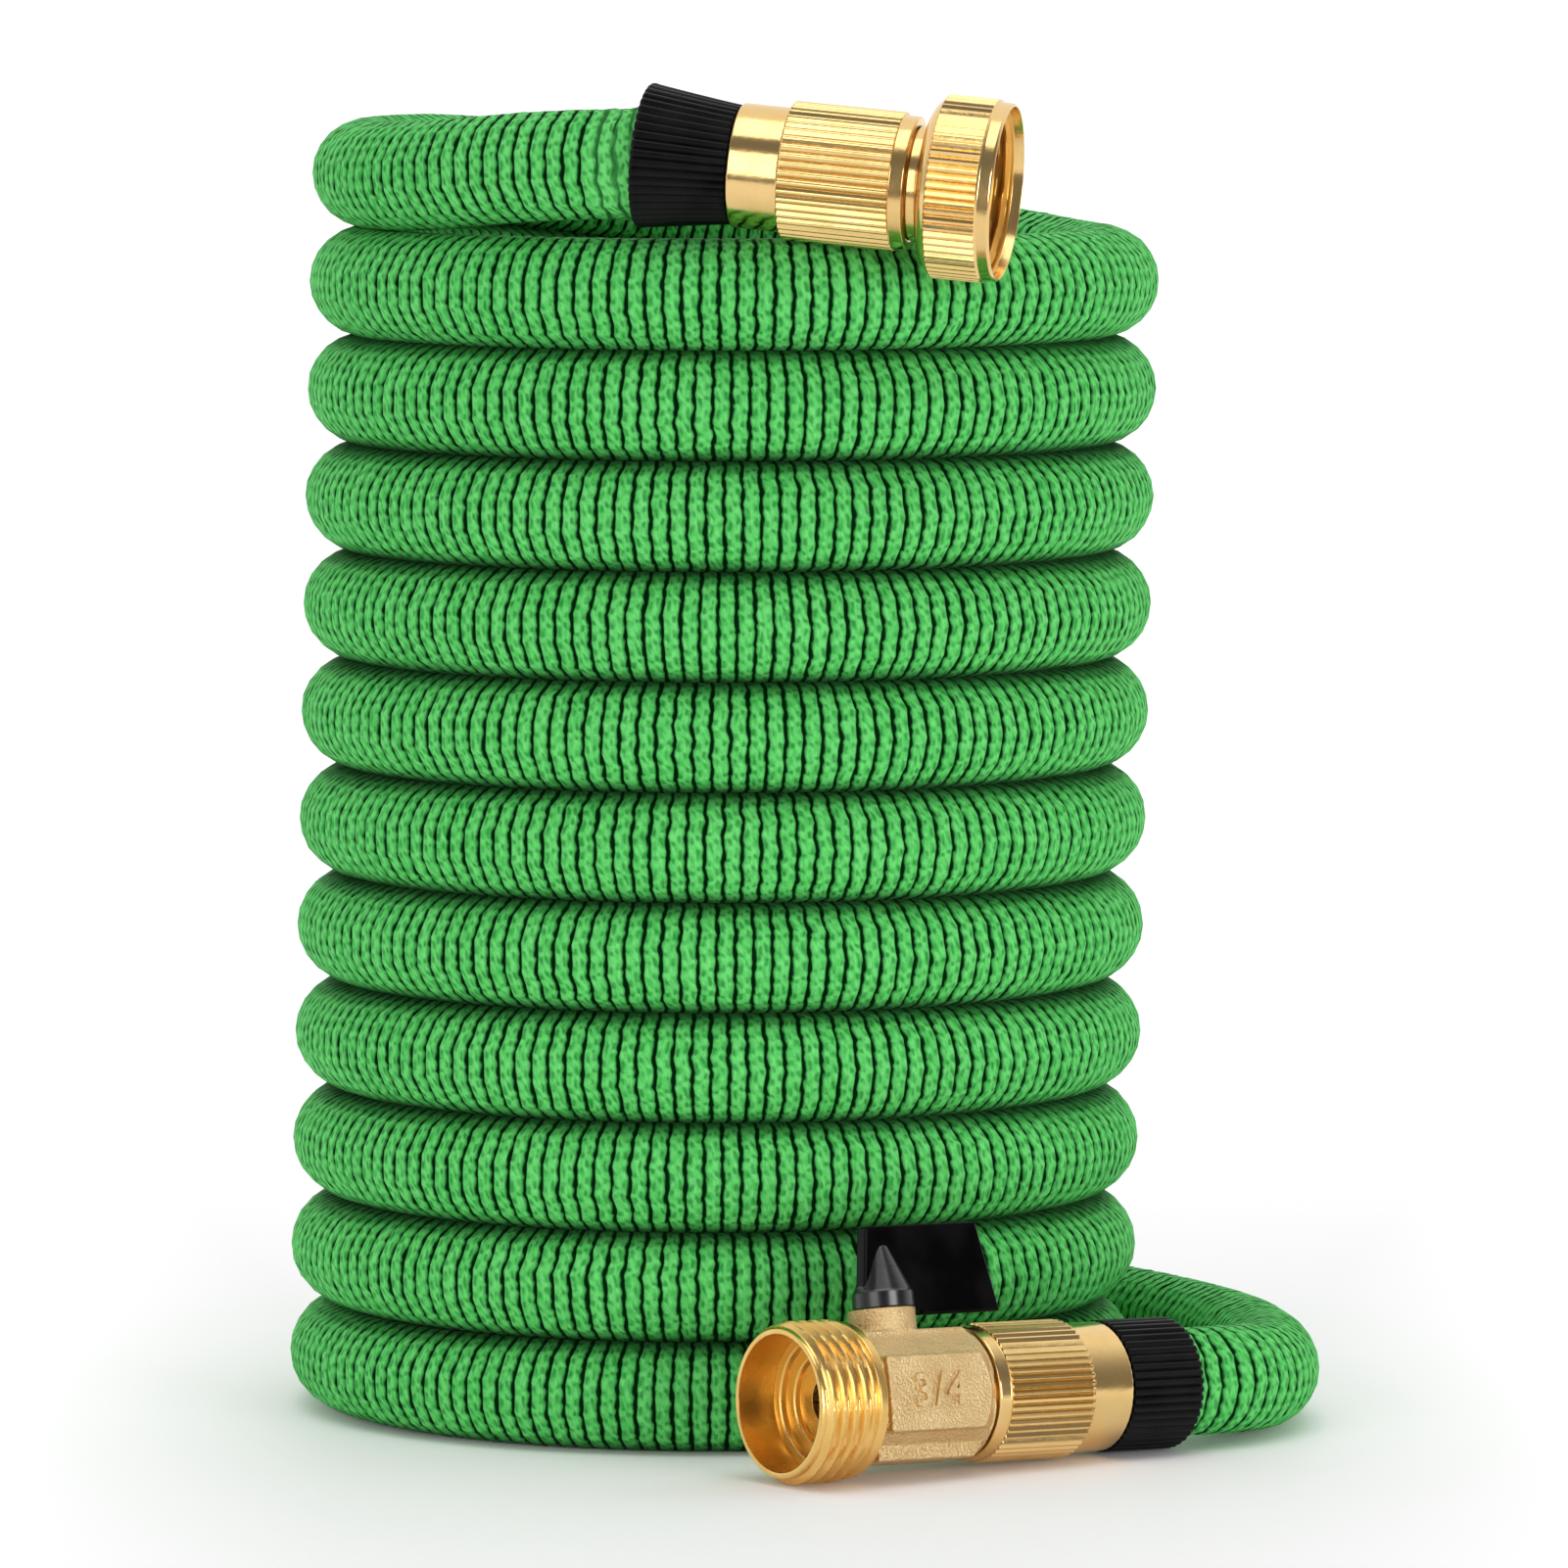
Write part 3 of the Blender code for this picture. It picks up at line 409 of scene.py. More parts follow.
def buildHose(material):
    # Ribs run round the hose: each has a groove ring and two crest rings whose edges are wavy,
    # so that neighbouring ribs interlock. The side that faces into the coil has fewer points.
    outerSteps, innerSteps = hose["outerPoints"], hose["innerPoints"]
    outerHalf = math.radians(hose["outerHalf"])
    angles = [(-1 + 2 * i / outerSteps) * outerHalf for i in range(outerSteps)]
    angles += [outerHalf + i / innerSteps * (2 * math.pi - 2 * outerHalf) for i in range(innerSteps)]
    angles = np.array(angles)
    around = len(angles)
    ribs = ribCount
    pitch = route.length / ribs
    marks = [0.0, hose["grooveShare"], 1 - hose["grooveShare"]]
    rings = np.array([rib + mark for rib in range(ribs) for mark in marks] + [ribs])
    isGroove = rings % 1 == 0
    rng = np.random.default_rng(hose["seed"])
    distance = rings * pitch
    place, ahead, side = route.at(distance)
    up = np.cross(side, ahead)
    full, tail = hose["diameter"] / 2 * mm, hose["tailDiameter"] / 2 * mm
    thinsAt = [route.length - before for before in hose["thins"]]
    radius = np.interp(distance, [0.0, *hose["thickens"], *thinsAt, route.length],
                       [tail, tail, full, full, tail, tail])
    ribIndex = np.arange(len(rings)) // len(marks)
    # The edges meander together, by an amount that drifts from rib to rib
    zigzag = np.where(np.arange(around) % 2 == 0, 1.0, -1.0)
    shared, evened = hose["driftRibs"]
    slow = np.repeat(rng.normal(0, 1.0, (ribs // shared + 2, around)), shared, axis=0)[:ribs + 1]
    kernel = np.hanning(evened) / np.hanning(evened).sum()
    slow = np.stack([np.convolve(slow[:, k], kernel, mode="same") for k in range(around)], axis=1)
    mean, spread = hose["waveDrift"]
    wobble = hose["ribWobble"] * mm * (zigzag[None, :] * (mean + spread * slow[np.minimum(ribIndex, ribs)]))
    bunched = np.clip((rings - ribs + hose["bunchedRibs"] + 2) / 2, 0, 1)[:, None]
    loose = 1 + hose["bunchedMore"] * bunched
    wobble = wobble + loose * rng.normal(0, hose["looseness"] * mm, (len(rings), around))
    wobble[[0, -1]] = 0
    swell = loose * rng.normal(0, hose["swell"] * mm, (len(rings), around))
    # The grooves run out where one turn lies on the next, and the turns press a little into each other
    upright = np.abs(np.sin(angles))
    cutRound = hose["ribDepth"] * mm * (1 - upright ** 8)
    wound = np.interp(distance, hose["thickens"], [0.0, 1.0])
    pressed = hose["pressedIn"] * mm * wound[:, None] * upright[None, :] ** 16
    ringRadius = radius[:, None] + swell + pressed - np.where(isGroove[:, None], cutRound[None, :], 0.0)
    direction = (side[:, None, :] * np.cos(angles)[None, :, None]
                 + up[:, None, :] * np.sin(angles)[None, :, None])
    verts = place[:, None, :] + direction * ringRadius[:, :, None] + ahead[:, None, :] * wobble[:, :, None]
    verts = verts.reshape(-1, 3)

    rows = np.arange(len(rings) - 1)[:, None] * around
    cols = np.arange(around)[None, :]
    nextCols = (cols + 1) % around
    quads = np.stack([rows + cols, rows + nextCols, rows + around + nextCols, rows + around + cols],
                     axis=2).reshape(-1, 4)
    mesh = bpy.data.meshes.new("wovenHose")
    endRing = list(range((len(rings) - 1) * around, len(rings) * around))
    faces = quads.tolist() + [list(reversed(range(around))), endRing]
    mesh.from_pydata(verts.tolist(), [], faces)

    # Along the hose U counts ribs, and round it V counts whole turns
    turn = angles / (2 * math.pi)
    nextTurn = np.append(turn[1:], turn[0] + 1)
    uvQuads = np.zeros((len(rings) - 1, around, 4, 2))
    corners = ((rings[:-1], turn), (rings[:-1], nextTurn), (rings[1:], nextTurn), (rings[1:], turn))
    for corner, (ribAt, turnAt) in enumerate(corners):
        uvQuads[:, :, corner, 0] = ribAt[:, None]
        uvQuads[:, :, corner, 1] = turnAt[None, :]
    uvAll = np.concatenate([uvQuads.reshape(-1, 2), np.zeros((2 * around, 2))])
    layer = mesh.uv_layers.new(name="weave")
    layer.data.foreach_set("uv", uvAll.astype(np.float32).ravel())
    mesh.shade_smooth()
    mesh.materials.append(material)
    obj = addObject("woven_hose", mesh)
    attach(obj, "hose")
    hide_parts("hose_coil", "hose_tap_tail", "hose_valve_tail")
    print(f"stage: hose has {ribs} ribs and {len(faces)} faces")
    return obj


weave = {
    "stitchesRound": 23,  # stitches in each half of a rib round the hose
    "columnAt": 0.36,  # 0 is the middle of a rib and 1 the bottom of a groove
    "columnHalf": 0.30,
    "slant": 0.26,  # of a stitch, from the middle of a rib to its edge
    "warp": 0.60,  # of a stitch, how unevenly they lie
    "grooveFrom": 0.70,
    "grooveTo": 0.87,
    "driftScale": 420.0,  # of the noise that moves the stitches
    "chanceScale": 610.0,  # of the noise that leaves some out
    "patchScale": 60.0,
    "strandShape": (9.0, 2.6, 1.9),  # yarns round, slant and fineness
    "strandTone": 0.72,  # shares of the light yarn
    "ribTone": 0.14,
    "patchTone": 0.22,
    "beatTone": -0.14,
    "bunchedTone": 0.30,
    # painted shade, in the stitches' pits and towards a rib's edges
    "pitShade": 0.62,
    "roundingShade": 0.55,
    "crownRelief": (2.4, 0.42),  # power and height, in mm
    "stitchRelief": 0.20,
    "strandRelief": 0.12,
    "roughness": (0.2, 0.50),  # added along a strand, and the least
    "woundFrom": (0.30, 0.38),  # m from the valve's grip, where turns start to touch
    "woundTo": (0.56, 0.48),  # m before the tap's grip, where they stop
    "creviceShade": 0.72,  # painted shade: how much darker the yarn is where the turns touch
    "lightYarn": (0.168, 0.72, 0.188, 1),
    "midYarn": (0.056, 0.47, 0.080, 1),
    "shadeYarn": (0.008, 0.19, 0.026, 1),
    # painted shade: near-black green for the bottoms of the grooves and the crevices between turns
    "groove": (0.0, 0.020, 0.003, 1),
}


def makeWeave():
    material, tree, shader = emptyMaterial("greenWeave", 0.5, 0.0, 0.3)
    shader.inputs["IOR"].default_value = 1.15
    shader.inputs["Sheen Weight"].default_value = 0.025
    shader.inputs["Sheen Roughness"].default_value = 0.35
    shader.inputs["Sheen Tint"].default_value = (0.6, 1.0, 0.6, 1)
    times, timesPlus, minus = [partial(calc, tree, mode) for mode in ("MULTIPLY", "MULTIPLY_ADD", "SUBTRACT")]
    uv = tree.nodes.new("ShaderNodeUVMap")
    uv.uv_map = "weave"
    split = tree.nodes.new("ShaderNodeSeparateXYZ")
    wire(tree, uv.outputs[0], split.inputs[0])
    along, turns = split.outputs["X"], split.outputs["Y"]
    coords = objectCoords(tree)
    rib = calc(tree, "FLOOR", along)
    off = minus(calc(tree, "FRACT", along), 0.5)
    distance = times(calc(tree, "ABSOLUTE", off), 2.0)
    bunched = ease(tree, along, ribCount - hose["bunchedRibs"] - 1.5, ribCount - hose["bunchedRibs"])
    ribNoise = tree.nodes.new("ShaderNodeTexWhiteNoise")
    ribNoise.noise_dimensions = "1D"
    wire(tree, rib, ribNoise.inputs["W"])
    ribShade = ribNoise.outputs["Value"]

    # Two staggered columns of long stitches to a rib, each unevenly placed
    drift = speckle(tree, coords, weave["driftScale"], 1.0)
    side = calc(tree, "SIGN", off)
    stitchAt = times(ribShade, 0.5)
    stitchAt = timesPlus(turns, weave["stitchesRound"], stitchAt)
    stitchAt = timesPlus(side, 0.25, stitchAt)
    stitchAt = timesPlus(off, 2 * weave["slant"], stitchAt)
    stitchAt = timesPlus(drift, 2 * weave["warp"], stitchAt)
    beat = calc(tree, "COSINE", times(stitchAt, 2 * math.pi))
    shift = timesPlus(drift, 0.30, weave["columnAt"] - 0.15)
    fromColumn = calc(tree, "ABSOLUTE", minus(distance, shift))
    column = ease(tree, fromColumn, weave["columnHalf"], 0.03)
    pit = times(ease(tree, beat, -0.45, 0.95), column)
    chance = ease(tree, speckle(tree, coords, weave["chanceScale"], 0.0), 0.28, 0.58)
    pit = times(pit, timesPlus(chance, 0.60, 0.40))
    frayed = timesPlus(minus(drift, 0.5), 0.30, distance)
    frayed = timesPlus(beat, 0.05, frayed)
    groove = ease(tree, frayed, weave["grooveFrom"], weave["grooveTo"])
    groove = times(groove, timesPlus(bunched, -0.7, 1.0))

    # Fine yarn strands, drawn out round the hose and slanted
    strandMap = tree.nodes.new("ShaderNodeCombineXYZ")
    yarns, slant, fineness = weave["strandShape"]
    slanted = timesPlus(turns, yarns, times(along, slant))
    wire(tree, slanted, strandMap.inputs[0])
    wire(tree, times(turns, weave["stitchesRound"] * 0.8), strandMap.inputs[1])
    wire(tree, times(ribShade, yarns), strandMap.inputs[2])
    strand = speckle(tree, strandMap.outputs[0], fineness, 3.0, 0.62)
    patch = speckle(tree, coords, weave["patchScale"])

    tone = times(ease(tree, strand, 0.30, 0.70), weave["strandTone"])
    for share, mask in (("ribTone", ribShade), ("patchTone", patch), ("beatTone", beat)):
        tone = timesPlus(mask, weave[share], tone)
    tone = timesPlus(bunched, weave["bunchedTone"], tone, clamp=True)
    colour = blendColours(tree, tone, weave["midYarn"], weave["lightYarn"])
    # Painted shade: the rib darkens towards its edges, and in the pits of its stitches
    paintedEdgeShade = ease(tree, frayed, 0.48, 0.80)
    for share, mask in (("pitShade", pit), ("roundingShade", paintedEdgeShade)):
        colour = blendColours(tree, times(mask, weave[share]), colour, weave["shadeYarn"])
    # Painted shade: yarn deep between two turns of the coil is painted darker, where the turns shade each
    # other
    upright = calc(tree, "ABSOLUTE", calc(tree, "SINE", times(turns, 2 * math.pi)))
    ribsPerMetre = ribCount / route.length
    wound = ease(tree, along, *[start * ribsPerMetre for start in weave["woundFrom"]])
    unwound = ease(tree, along, *[(route.length - before) * ribsPerMetre for before in weave["woundTo"]])
    wound = minus(wound, unwound)
    paintedCreviceShade = times(ease(tree, upright, 0.70, 0.99), weave["creviceShade"])
    paintedCreviceShade = times(paintedCreviceShade, wound)
    colour = blendColours(tree, paintedCreviceShade, colour, weave["groove"])
    # Painted shade: the bottoms of the grooves are painted near black
    colour = blendColours(tree, groove, colour, weave["groove"])

    power, crownHeight = weave["crownRelief"]
    crown = minus(1.0, calc(tree, "POWER", distance, power))
    height = times(crown, crownHeight)
    height = timesPlus(minus(1.0, pit), weave["stitchRelief"], height)
    height = timesPlus(strand, weave["strandRelief"], height)
    finishMaterial(tree, shader, colour, timesPlus(strand, *weave["roughness"]), height, mm)
    return material


wovenHose = buildHose(makeWeave())


def makeGrainGroup():
    # Fine grit for cast and worn metal: a height, and a mask of slightly duller patches
    group = bpy.data.node_groups.new("metalGrain", "ShaderNodeTree")
    for name, kind in (("Vector", "Vector"), ("Grit Scale", "Float"), ("Patch Scale", "Float")):
        group.interface.new_socket(name, in_out="INPUT", socket_type="NodeSocket" + kind)
    for name in ("Height", "Patches"):
        group.interface.new_socket(name, in_out="OUTPUT", socket_type="NodeSocketFloat")
    vector, gritScale, patchScale = group.nodes.new("NodeGroupInput").outputs[:3]
    height, patches = group.nodes.new("NodeGroupOutput").inputs[:2]
    wire(group, speckle(group, vector, gritScale, 3.0), height)
    wire(group, ease(group, speckle(group, vector, patchScale), 0.35, 0.7), patches)
    return group


metalGrain = makeGrainGroup()


def addGrain(tree, gritScale, patchScale):
    grain = tree.nodes.new("ShaderNodeGroup")
    grain.node_tree = metalGrain
    wire(tree, objectCoords(tree), grain.inputs["Vector"])
    grain.inputs["Grit Scale"].default_value = gritScale
    grain.inputs["Patch Scale"].default_value = patchScale
    return grain.outputs["Height"], grain.outputs["Patches"]


# colour, colour of dull patches, roughness, roughness added there, grit scale, grit depth in m, lathe marks
brassLooks = {
    "machinedBrass": ((0.88, 0.61, 0.26, 1), (0.80, 0.51, 0.18, 1), 0.125, 0.05, 900.0, 0.00002, 0.25),
    "castBrass": ((0.76, 0.555, 0.28, 1), (0.64, 0.43, 0.19, 1), 0.33, 0.12, 2300.0, 0.00034, 0.0),
    # painted shade: a darker, more orange copy of the brass, for the inside of the swivel nut
    "shadedInnerBrass": ((0.78, 0.42, 0.09, 1), (0.66, 0.33, 0.06, 1), 0.34, 0.06, 1200.0, 0.00003, 0.3),
    "threadBrass": ((0.88, 0.57, 0.19, 1), (0.80, 0.48, 0.12, 1), 0.22, 0.06, 1200.0, 0.00003, 0.4),
}
brassWear = {"patchScale": 160.0, "patchShare": 0.5, "marksScale": 5200.0, "marksRoughness": 0.06}


def makeBrass(name):
    colour, dull, roughness, dullRoughness, gritScale, gritDepth, latheMarks = brassLooks[name]
    material, tree, shader = emptyMaterial(name, roughness, 1.0)
    height, patches = addGrain(tree, gritScale, brassWear["patchScale"])
    tone = blendColours(tree, calc(tree, "MULTIPLY", patches, brassWear["patchShare"]), colour, dull)
    rough = calc(tree, "MULTIPLY_ADD", patches, dullRoughness, roughness)
    if latheMarks:
        # Turning marks run round the piece, so they change only along its own axis
        along = tree.nodes.new("ShaderNodeMapping")
        along.inputs["Scale"].default_value = (0.0, 0.0, 1.0)
        wire(tree, objectCoords(tree), along.inputs["Vector"])
        marks = speckle(tree, along.outputs["Vector"], brassWear["marksScale"], 2.0, 0.6)
        height = calc(tree, "MULTIPLY_ADD", marks, latheMarks, height)
        rough = calc(tree, "MULTIPLY_ADD", marks, brassWear["marksRoughness"], rough)
    finishMaterial(tree, shader, tone, rough, height, gritDepth)
    return material


machinedBrass = makeBrass("machinedBrass")
castBrass = makeBrass("castBrass")
threadBrass = makeBrass("threadBrass")
shadedInnerBrass = makeBrass("shadedInnerBrass")


# colour, roughness, specular, grit scale, grit depth in m
blackLooks = {
    "gripRubber": ((0.0018, 0.0018, 0.0020), 0.34, 0.13, 2400.0, 0.00004),
    "washerRubber": ((0.012, 0.012, 0.012), 0.6, 0.3, 1800.0, 0.00004),
    "leverPlastic": ((0.0005, 0.0005, 0.0007), 0.14, 0.10, 900.0, 0.00001),
    "hubPlastic": ((0.0012, 0.0012, 0.0016), 0.22, 0.80, 900.0, 0.00001),
}
blackWear = {"patchScale": 120.0, "times": 1.9, "plus": 0.002, "roughness": 0.12}


def makeBlack(name):
    colour, roughness, specular, gritScale, gritDepth = blackLooks[name]
    material, tree, shader = emptyMaterial(name, roughness, 0.0, specular)
    height, patches = addGrain(tree, gritScale, blackWear["patchScale"])
    faded = tuple(min(1.0, c * blackWear["times"] + blackWear["plus"]) for c in colour)
    tone = blendColours(tree, patches, (*colour, 1), (*faded, 1))
    rough = calc(tree, "MULTIPLY_ADD", patches, blackWear["roughness"], roughness)
    finishMaterial(tree, shader, tone, rough, height, gritDepth)
    return material


gripRubber = makeBlack("gripRubber")
washerRubber = makeBlack("washerRubber")
leverPlastic = makeBlack("leverPlastic")
hubPlastic = makeBlack("hubPlastic")


def roundCorners(loop, size, steps=3):
    # Rounds the corners of a closed outline of (station, radius, kind) points
    rounded = []
    count = len(loop)
    for i in range(count):
        before, corner, after = loop[i - 1], loop[i], loop[(i + 1) % count]
        point = np.array(corner[:2], float)
        back = np.array(before[:2], float) - point
        ahead = np.array(after[:2], float) - point
        backLength, aheadLength = np.linalg.norm(back), np.linalg.norm(ahead)
        bend = float(np.dot(back, ahead) / (backLength * aheadLength))
        cut = min(size, 0.4 * backLength, 0.4 * aheadLength)
        if bend < -0.94 or len(corner) > 3:
            rounded.append(corner[:3])
            continue
        start = point + back / backLength * cut
        end = point + ahead / aheadLength * cut
        for step in range(steps + 1):
            t = step / steps
            p = (1 - t) ** 2 * start + 2 * t * (1 - t) * point + t ** 2 * end
            rounded.append((float(p[0]), float(p[1]), corner[2]))
    return rounded


def welded(mesh, distance):
    bm = bmesh.new()
    bm.from_mesh(mesh)
    if distance:
        bmesh.ops.remove_doubles(bm, verts=bm.verts, dist=distance)
        bmesh.ops.delete(bm, geom=[edge for edge in bm.edges if not edge.link_faces], context="EDGES")
    bmesh.ops.recalc_face_normals(bm, faces=bm.faces)
    bm.to_mesh(mesh)
    bm.free()
    return mesh


def turnedMesh(name, outline, around, shapeKind=None, unit=mm):
    # outline is a closed loop of (station, radius, kind) in mm; shapeKind(kind, station, radius,
    # angles) gives the radius all round for the kinds that aren't plain. A radius of 0 closes an end.
    angles = np.arange(around) * (2 * math.pi / around)
    rows = len(outline)
    verts = np.zeros((rows, around, 3))
    for row, (station, radius, kind) in enumerate(outline):
        radii = np.full(around, radius)
        if kind and shapeKind:
            radii = shapeKind(kind, station, radius, angles)
        verts[row, :, 0] = radii * np.cos(angles)
        verts[row, :, 1] = radii * np.sin(angles)
        verts[row, :, 2] = station
    row = np.arange(rows)[:, None]
    nextRow = (row + 1) % rows
    col = np.arange(around)[None, :]
    nextCol = (col + 1) % around
    quads = np.stack([row * around + col, nextRow * around + col,
                      nextRow * around + nextCol, row * around + nextCol], axis=2).reshape(-1, 4)
    mesh = bpy.data.meshes.new(name)
    mesh.from_pydata((verts.reshape(-1, 3) * unit).tolist(), [], quads.tolist())
    closedEnd = any(radius == 0 for station, radius, kind in outline)
    return smoothed(welded(mesh, 1e-4 * unit if closedEnd else 0), 42)


def smoothed(mesh, sharpAngle=35):
    # Edges sharper than the angle, in degrees, stay sharp
    mesh.shade_smooth()
    mesh.set_sharp_from_angle(angle=math.radians(sharpAngle))
    return mesh


def placePiece(name, mesh, materials, matrix, body, slotName, *nodes):
    obj = addObject(name, mesh)
    for material in materials:
        mesh.materials.append(material)
    inMetres = matrix.copy()
    inMetres.translation = matrix.translation * mm
    obj.matrix_world = inMetres
    even = obj.modifiers.new("evenShading", "WEIGHTED_NORMAL")
    even.keep_sharp = True
    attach(obj, body)
    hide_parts(*nodes)


def plain(points):
    return [(station, radius, "") for station, radius in points]


def fluteDepth(count, depth, grooveShare):
    # Rounded ridges with narrower grooves between them, cut along the piece
    def cut(kind, station, radius, angles):
        if kind != "flute":
            return np.full(len(angles), radius)
        t = (angles * count / (2 * math.pi)) % 1.0
        nearGroove = np.minimum(t, 1 - t) / grooveShare
        groove = np.clip(1 - nearGroove, 0, 1) ** 0.8
        crown = 0.18 * (2 * np.abs(t - 0.5)) ** 2
        return radius - depth * groove - depth * crown
    return cut


clampNut = {
    "fluteRadius": 11.65,
    "fluteDepth": 0.42,
    "fluteGroove": 0.36,  # of the flutes' pitch, on each side
    "ringLength": 2.4,
    "ringRadius": 11.2,
    "innerRadius": 9.5,
    "boreRadius": 6.2,
    "cornerSize": 0.35,
}


def buildClampNut(name, place, start, collar, collarRadius, flutesLength, count):
    collarEnd = start + collar
    flutesEnd = collarEnd + flutesLength
    end = flutesEnd + clampNut["ringLength"]
    ring, inner, bore = clampNut["ringRadius"], clampNut["innerRadius"], clampNut["boreRadius"]
    loop = plain([(start, collarRadius), (collarEnd, collarRadius)])
    loop += [(station, clampNut["fluteRadius"], "flute") for station in (collarEnd, flutesEnd)]
    loop += plain([(flutesEnd, ring), (end, ring), (end, inner), (collarEnd, inner), (collarEnd, bore),
                   (start, bore)])
    cut = fluteDepth(count, clampNut["fluteDepth"], clampNut["fluteGroove"])
    mesh = turnedMesh(name, roundCorners(loop, clampNut["cornerSize"]), count * 8, cut)
    placePiece(name + "_fluted", mesh, [machinedBrass], place, "hose", "machined_brass", name)


grip = {
    "mouthChamfer": 0.5,
    "flarePower": 1.1,
    "flareSteps": 14,
    "boreRadius": 6.2,
    "socketDepth": 6.0,
    "socketRadius": 9.53,
    "ribDepth": 0.42,
    "ribGroove": 0.34,  # of the ribs' pitch, on each side
    "cornerSize": 0.3,
}


def buildGrip(name, place, length, mouthRadius, neckRadius, count):
    flare = mouthRadius - neckRadius
    chamfer, socket, bore = grip["mouthChamfer"], grip["socketRadius"], grip["boreRadius"]
    loop = [(0.0, mouthRadius - chamfer, "flute"), (chamfer, mouthRadius, "flute")]
    for i in range(1, grip["flareSteps"] + 1):
        station = chamfer + (length - chamfer) * i / grip["flareSteps"]
        loop.append((station, neckRadius + flare * (1 - station / length) ** grip["flarePower"], "flute"))
    loop += plain([(length, bore), (grip["socketDepth"], bore), (grip["socketDepth"], socket), (0.0, socket)])
    cut = fluteDepth(count, grip["ribDepth"], grip["ribGroove"])
    mesh = turnedMesh(name, roundCorners(loop, grip["cornerSize"]), count * 6, cut)
    placePiece(name + "_ribbed", mesh, [gripRubber], place, "hose", "grip_rubber", name)


thread = {
    "pitch": 2.209,  # mm
    "crest": 1.10,  # above 1 the ridge has a flat top
    "halfWidth": 0.58,  # of the pitch
    "runOut": 0.9,  # mm, over which it fades at its ends
}


def threadDepth(first, last, root, crest, otherKinds=None):
    # A right-handed ridge that fades in and out over its last part of a turn
    def cut(kind, station, radius, angles):
        if kind != "thread":
            return otherKinds(kind, station, radius, angles)
        phase = (station / thread["pitch"] - angles / (2 * math.pi)) % 1.0
        ridge = np.clip(thread["crest"] - np.abs(phase - 0.5) * 2 / thread["halfWidth"], 0, 1)
        fadeIn = np.clip((station - first) / thread["runOut"], 0, 1)
        fadeOut = np.clip((last - station) / thread["runOut"], 0, 1)
        return root + (crest - root) * ridge * (fadeIn * fadeOut)
    return cut


# Stations are mm from the mouth of the tap's grip, outlines are (station, radius)
tap = {
    "grip": (16.0, 12.25, 10.05, 44),  # length, radius at mouth and neck, ribs
    "clampNut": (16.3, 8.7, 10.45, 19.0, 46),  # start, collar's length and radius, flutes' length, flutes
    "tailpieceShape": [(6.0, 5.9), (25.3, 5.9), (25.3, 9.2), (46.7, 9.2), (46.7, 9.7), (48.3, 9.7),
                       (48.3, 8.5), (51.5, 8.5), (51.5, 12.0), (53.3, 12.0), (53.3, 3.8), (6.0, 3.8)],
    "washerShape": [(53.6, 12.0), (56.0, 12.0), (56.0, 6.0), (53.6, 6.0)],
    "nutFlutes": 64,
    "nutFluteRadius": 15.4,
    "nutBack": 48.7,
    "nutBackShape": [(0.0, 11.9), (0.25, 12.7), (0.9, 13.8), (1.6, 14.5), (2.2, 14.85)],  # from its back
    "nutMouth": 62.0,
    "nutLipShape": [(2.5, 15.36), (2.15, 14.98), (0.4, 14.95), (0.0, 14.6), (0.0, 14.35)],  # before its mouth
    "thread": (56.4, 60.1, 13.7, 12.65),  # first and last station, radius of root and crest
    "lipBore": 14.2,
    "seatStation": 51.1,
    "seatBore": 8.9,
}


def buildSwivelNut():
    back, mouth = tap["nutBack"], tap["nutMouth"]
    first, last, root, crest = tap["thread"]
    loop = plain([(back + after, radius) for after, radius in tap["nutBackShape"]])
    fluteEnds = (back + tap["nutBackShape"][-1][0], mouth - 2.55)
    loop += [(station, tap["nutFluteRadius"], "flute") for station in fluteEnds]
    loop += plain([(mouth - before, radius) for before, radius in tap["nutLipShape"]])
    loop += plain([(last + 0.15, tap["lipBore"])])
    station = last
    while station > first:
        loop.append((station, root, "thread", "keep"))
        station -= thread["pitch"] / 12
    loop += [(first, root, "thread", "keep")]
    seat, bore = tap["seatStation"], tap["seatBore"]
    loop += plain([(seat, root), (seat, bore), (back, bore)])
    flutes = fluteDepth(tap["nutFlutes"], clampNut["fluteDepth"], clampNut["fluteGroove"])
    cut = threadDepth(first, last, root, crest, flutes)
    mesh = turnedMesh("swivelNut", roundCorners(loop, 0.2), tap["nutFlutes"] * 8, cut)
    # Faces inside the nut get the darker brass copy, painted shade for its inside
    for face in mesh.polygons:
        x, y, z = face.center / mm
        inside = math.hypot(x, y) < tap["lipBore"] + 0.05
        face.material_index = int(inside and seat + 0.1 < z < last + 0.2)
    placePiece("swivel_nut_fluted", mesh, (machinedBrass, shadedInnerBrass), tapFrame, "swivel_nut",
               "machined_brass", "tap_swivel_nut")


buildGrip("tap_grip", tapFrame, *tap["grip"])
buildClampNut("tap_clamp_nut", tapFrame, *tap["clampNut"])
tailpiece = turnedMesh("tailpiece", roundCorners(plain(tap["tailpieceShape"]), 0.2), 96)
placePiece("tailpiece", tailpiece, [machinedBrass], tapFrame, "hose", "machined_brass", "tap_tailpiece")
buildSwivelNut()
washer = turnedMesh("washer", roundCorners(plain(tap["washerShape"]), 0.3), 72)
placePiece("sealing_washer", washer, [washerRubber], tapFrame, "swivel_nut", "washer_rubber", "tap_washer")
print("stage: tap connector is built")


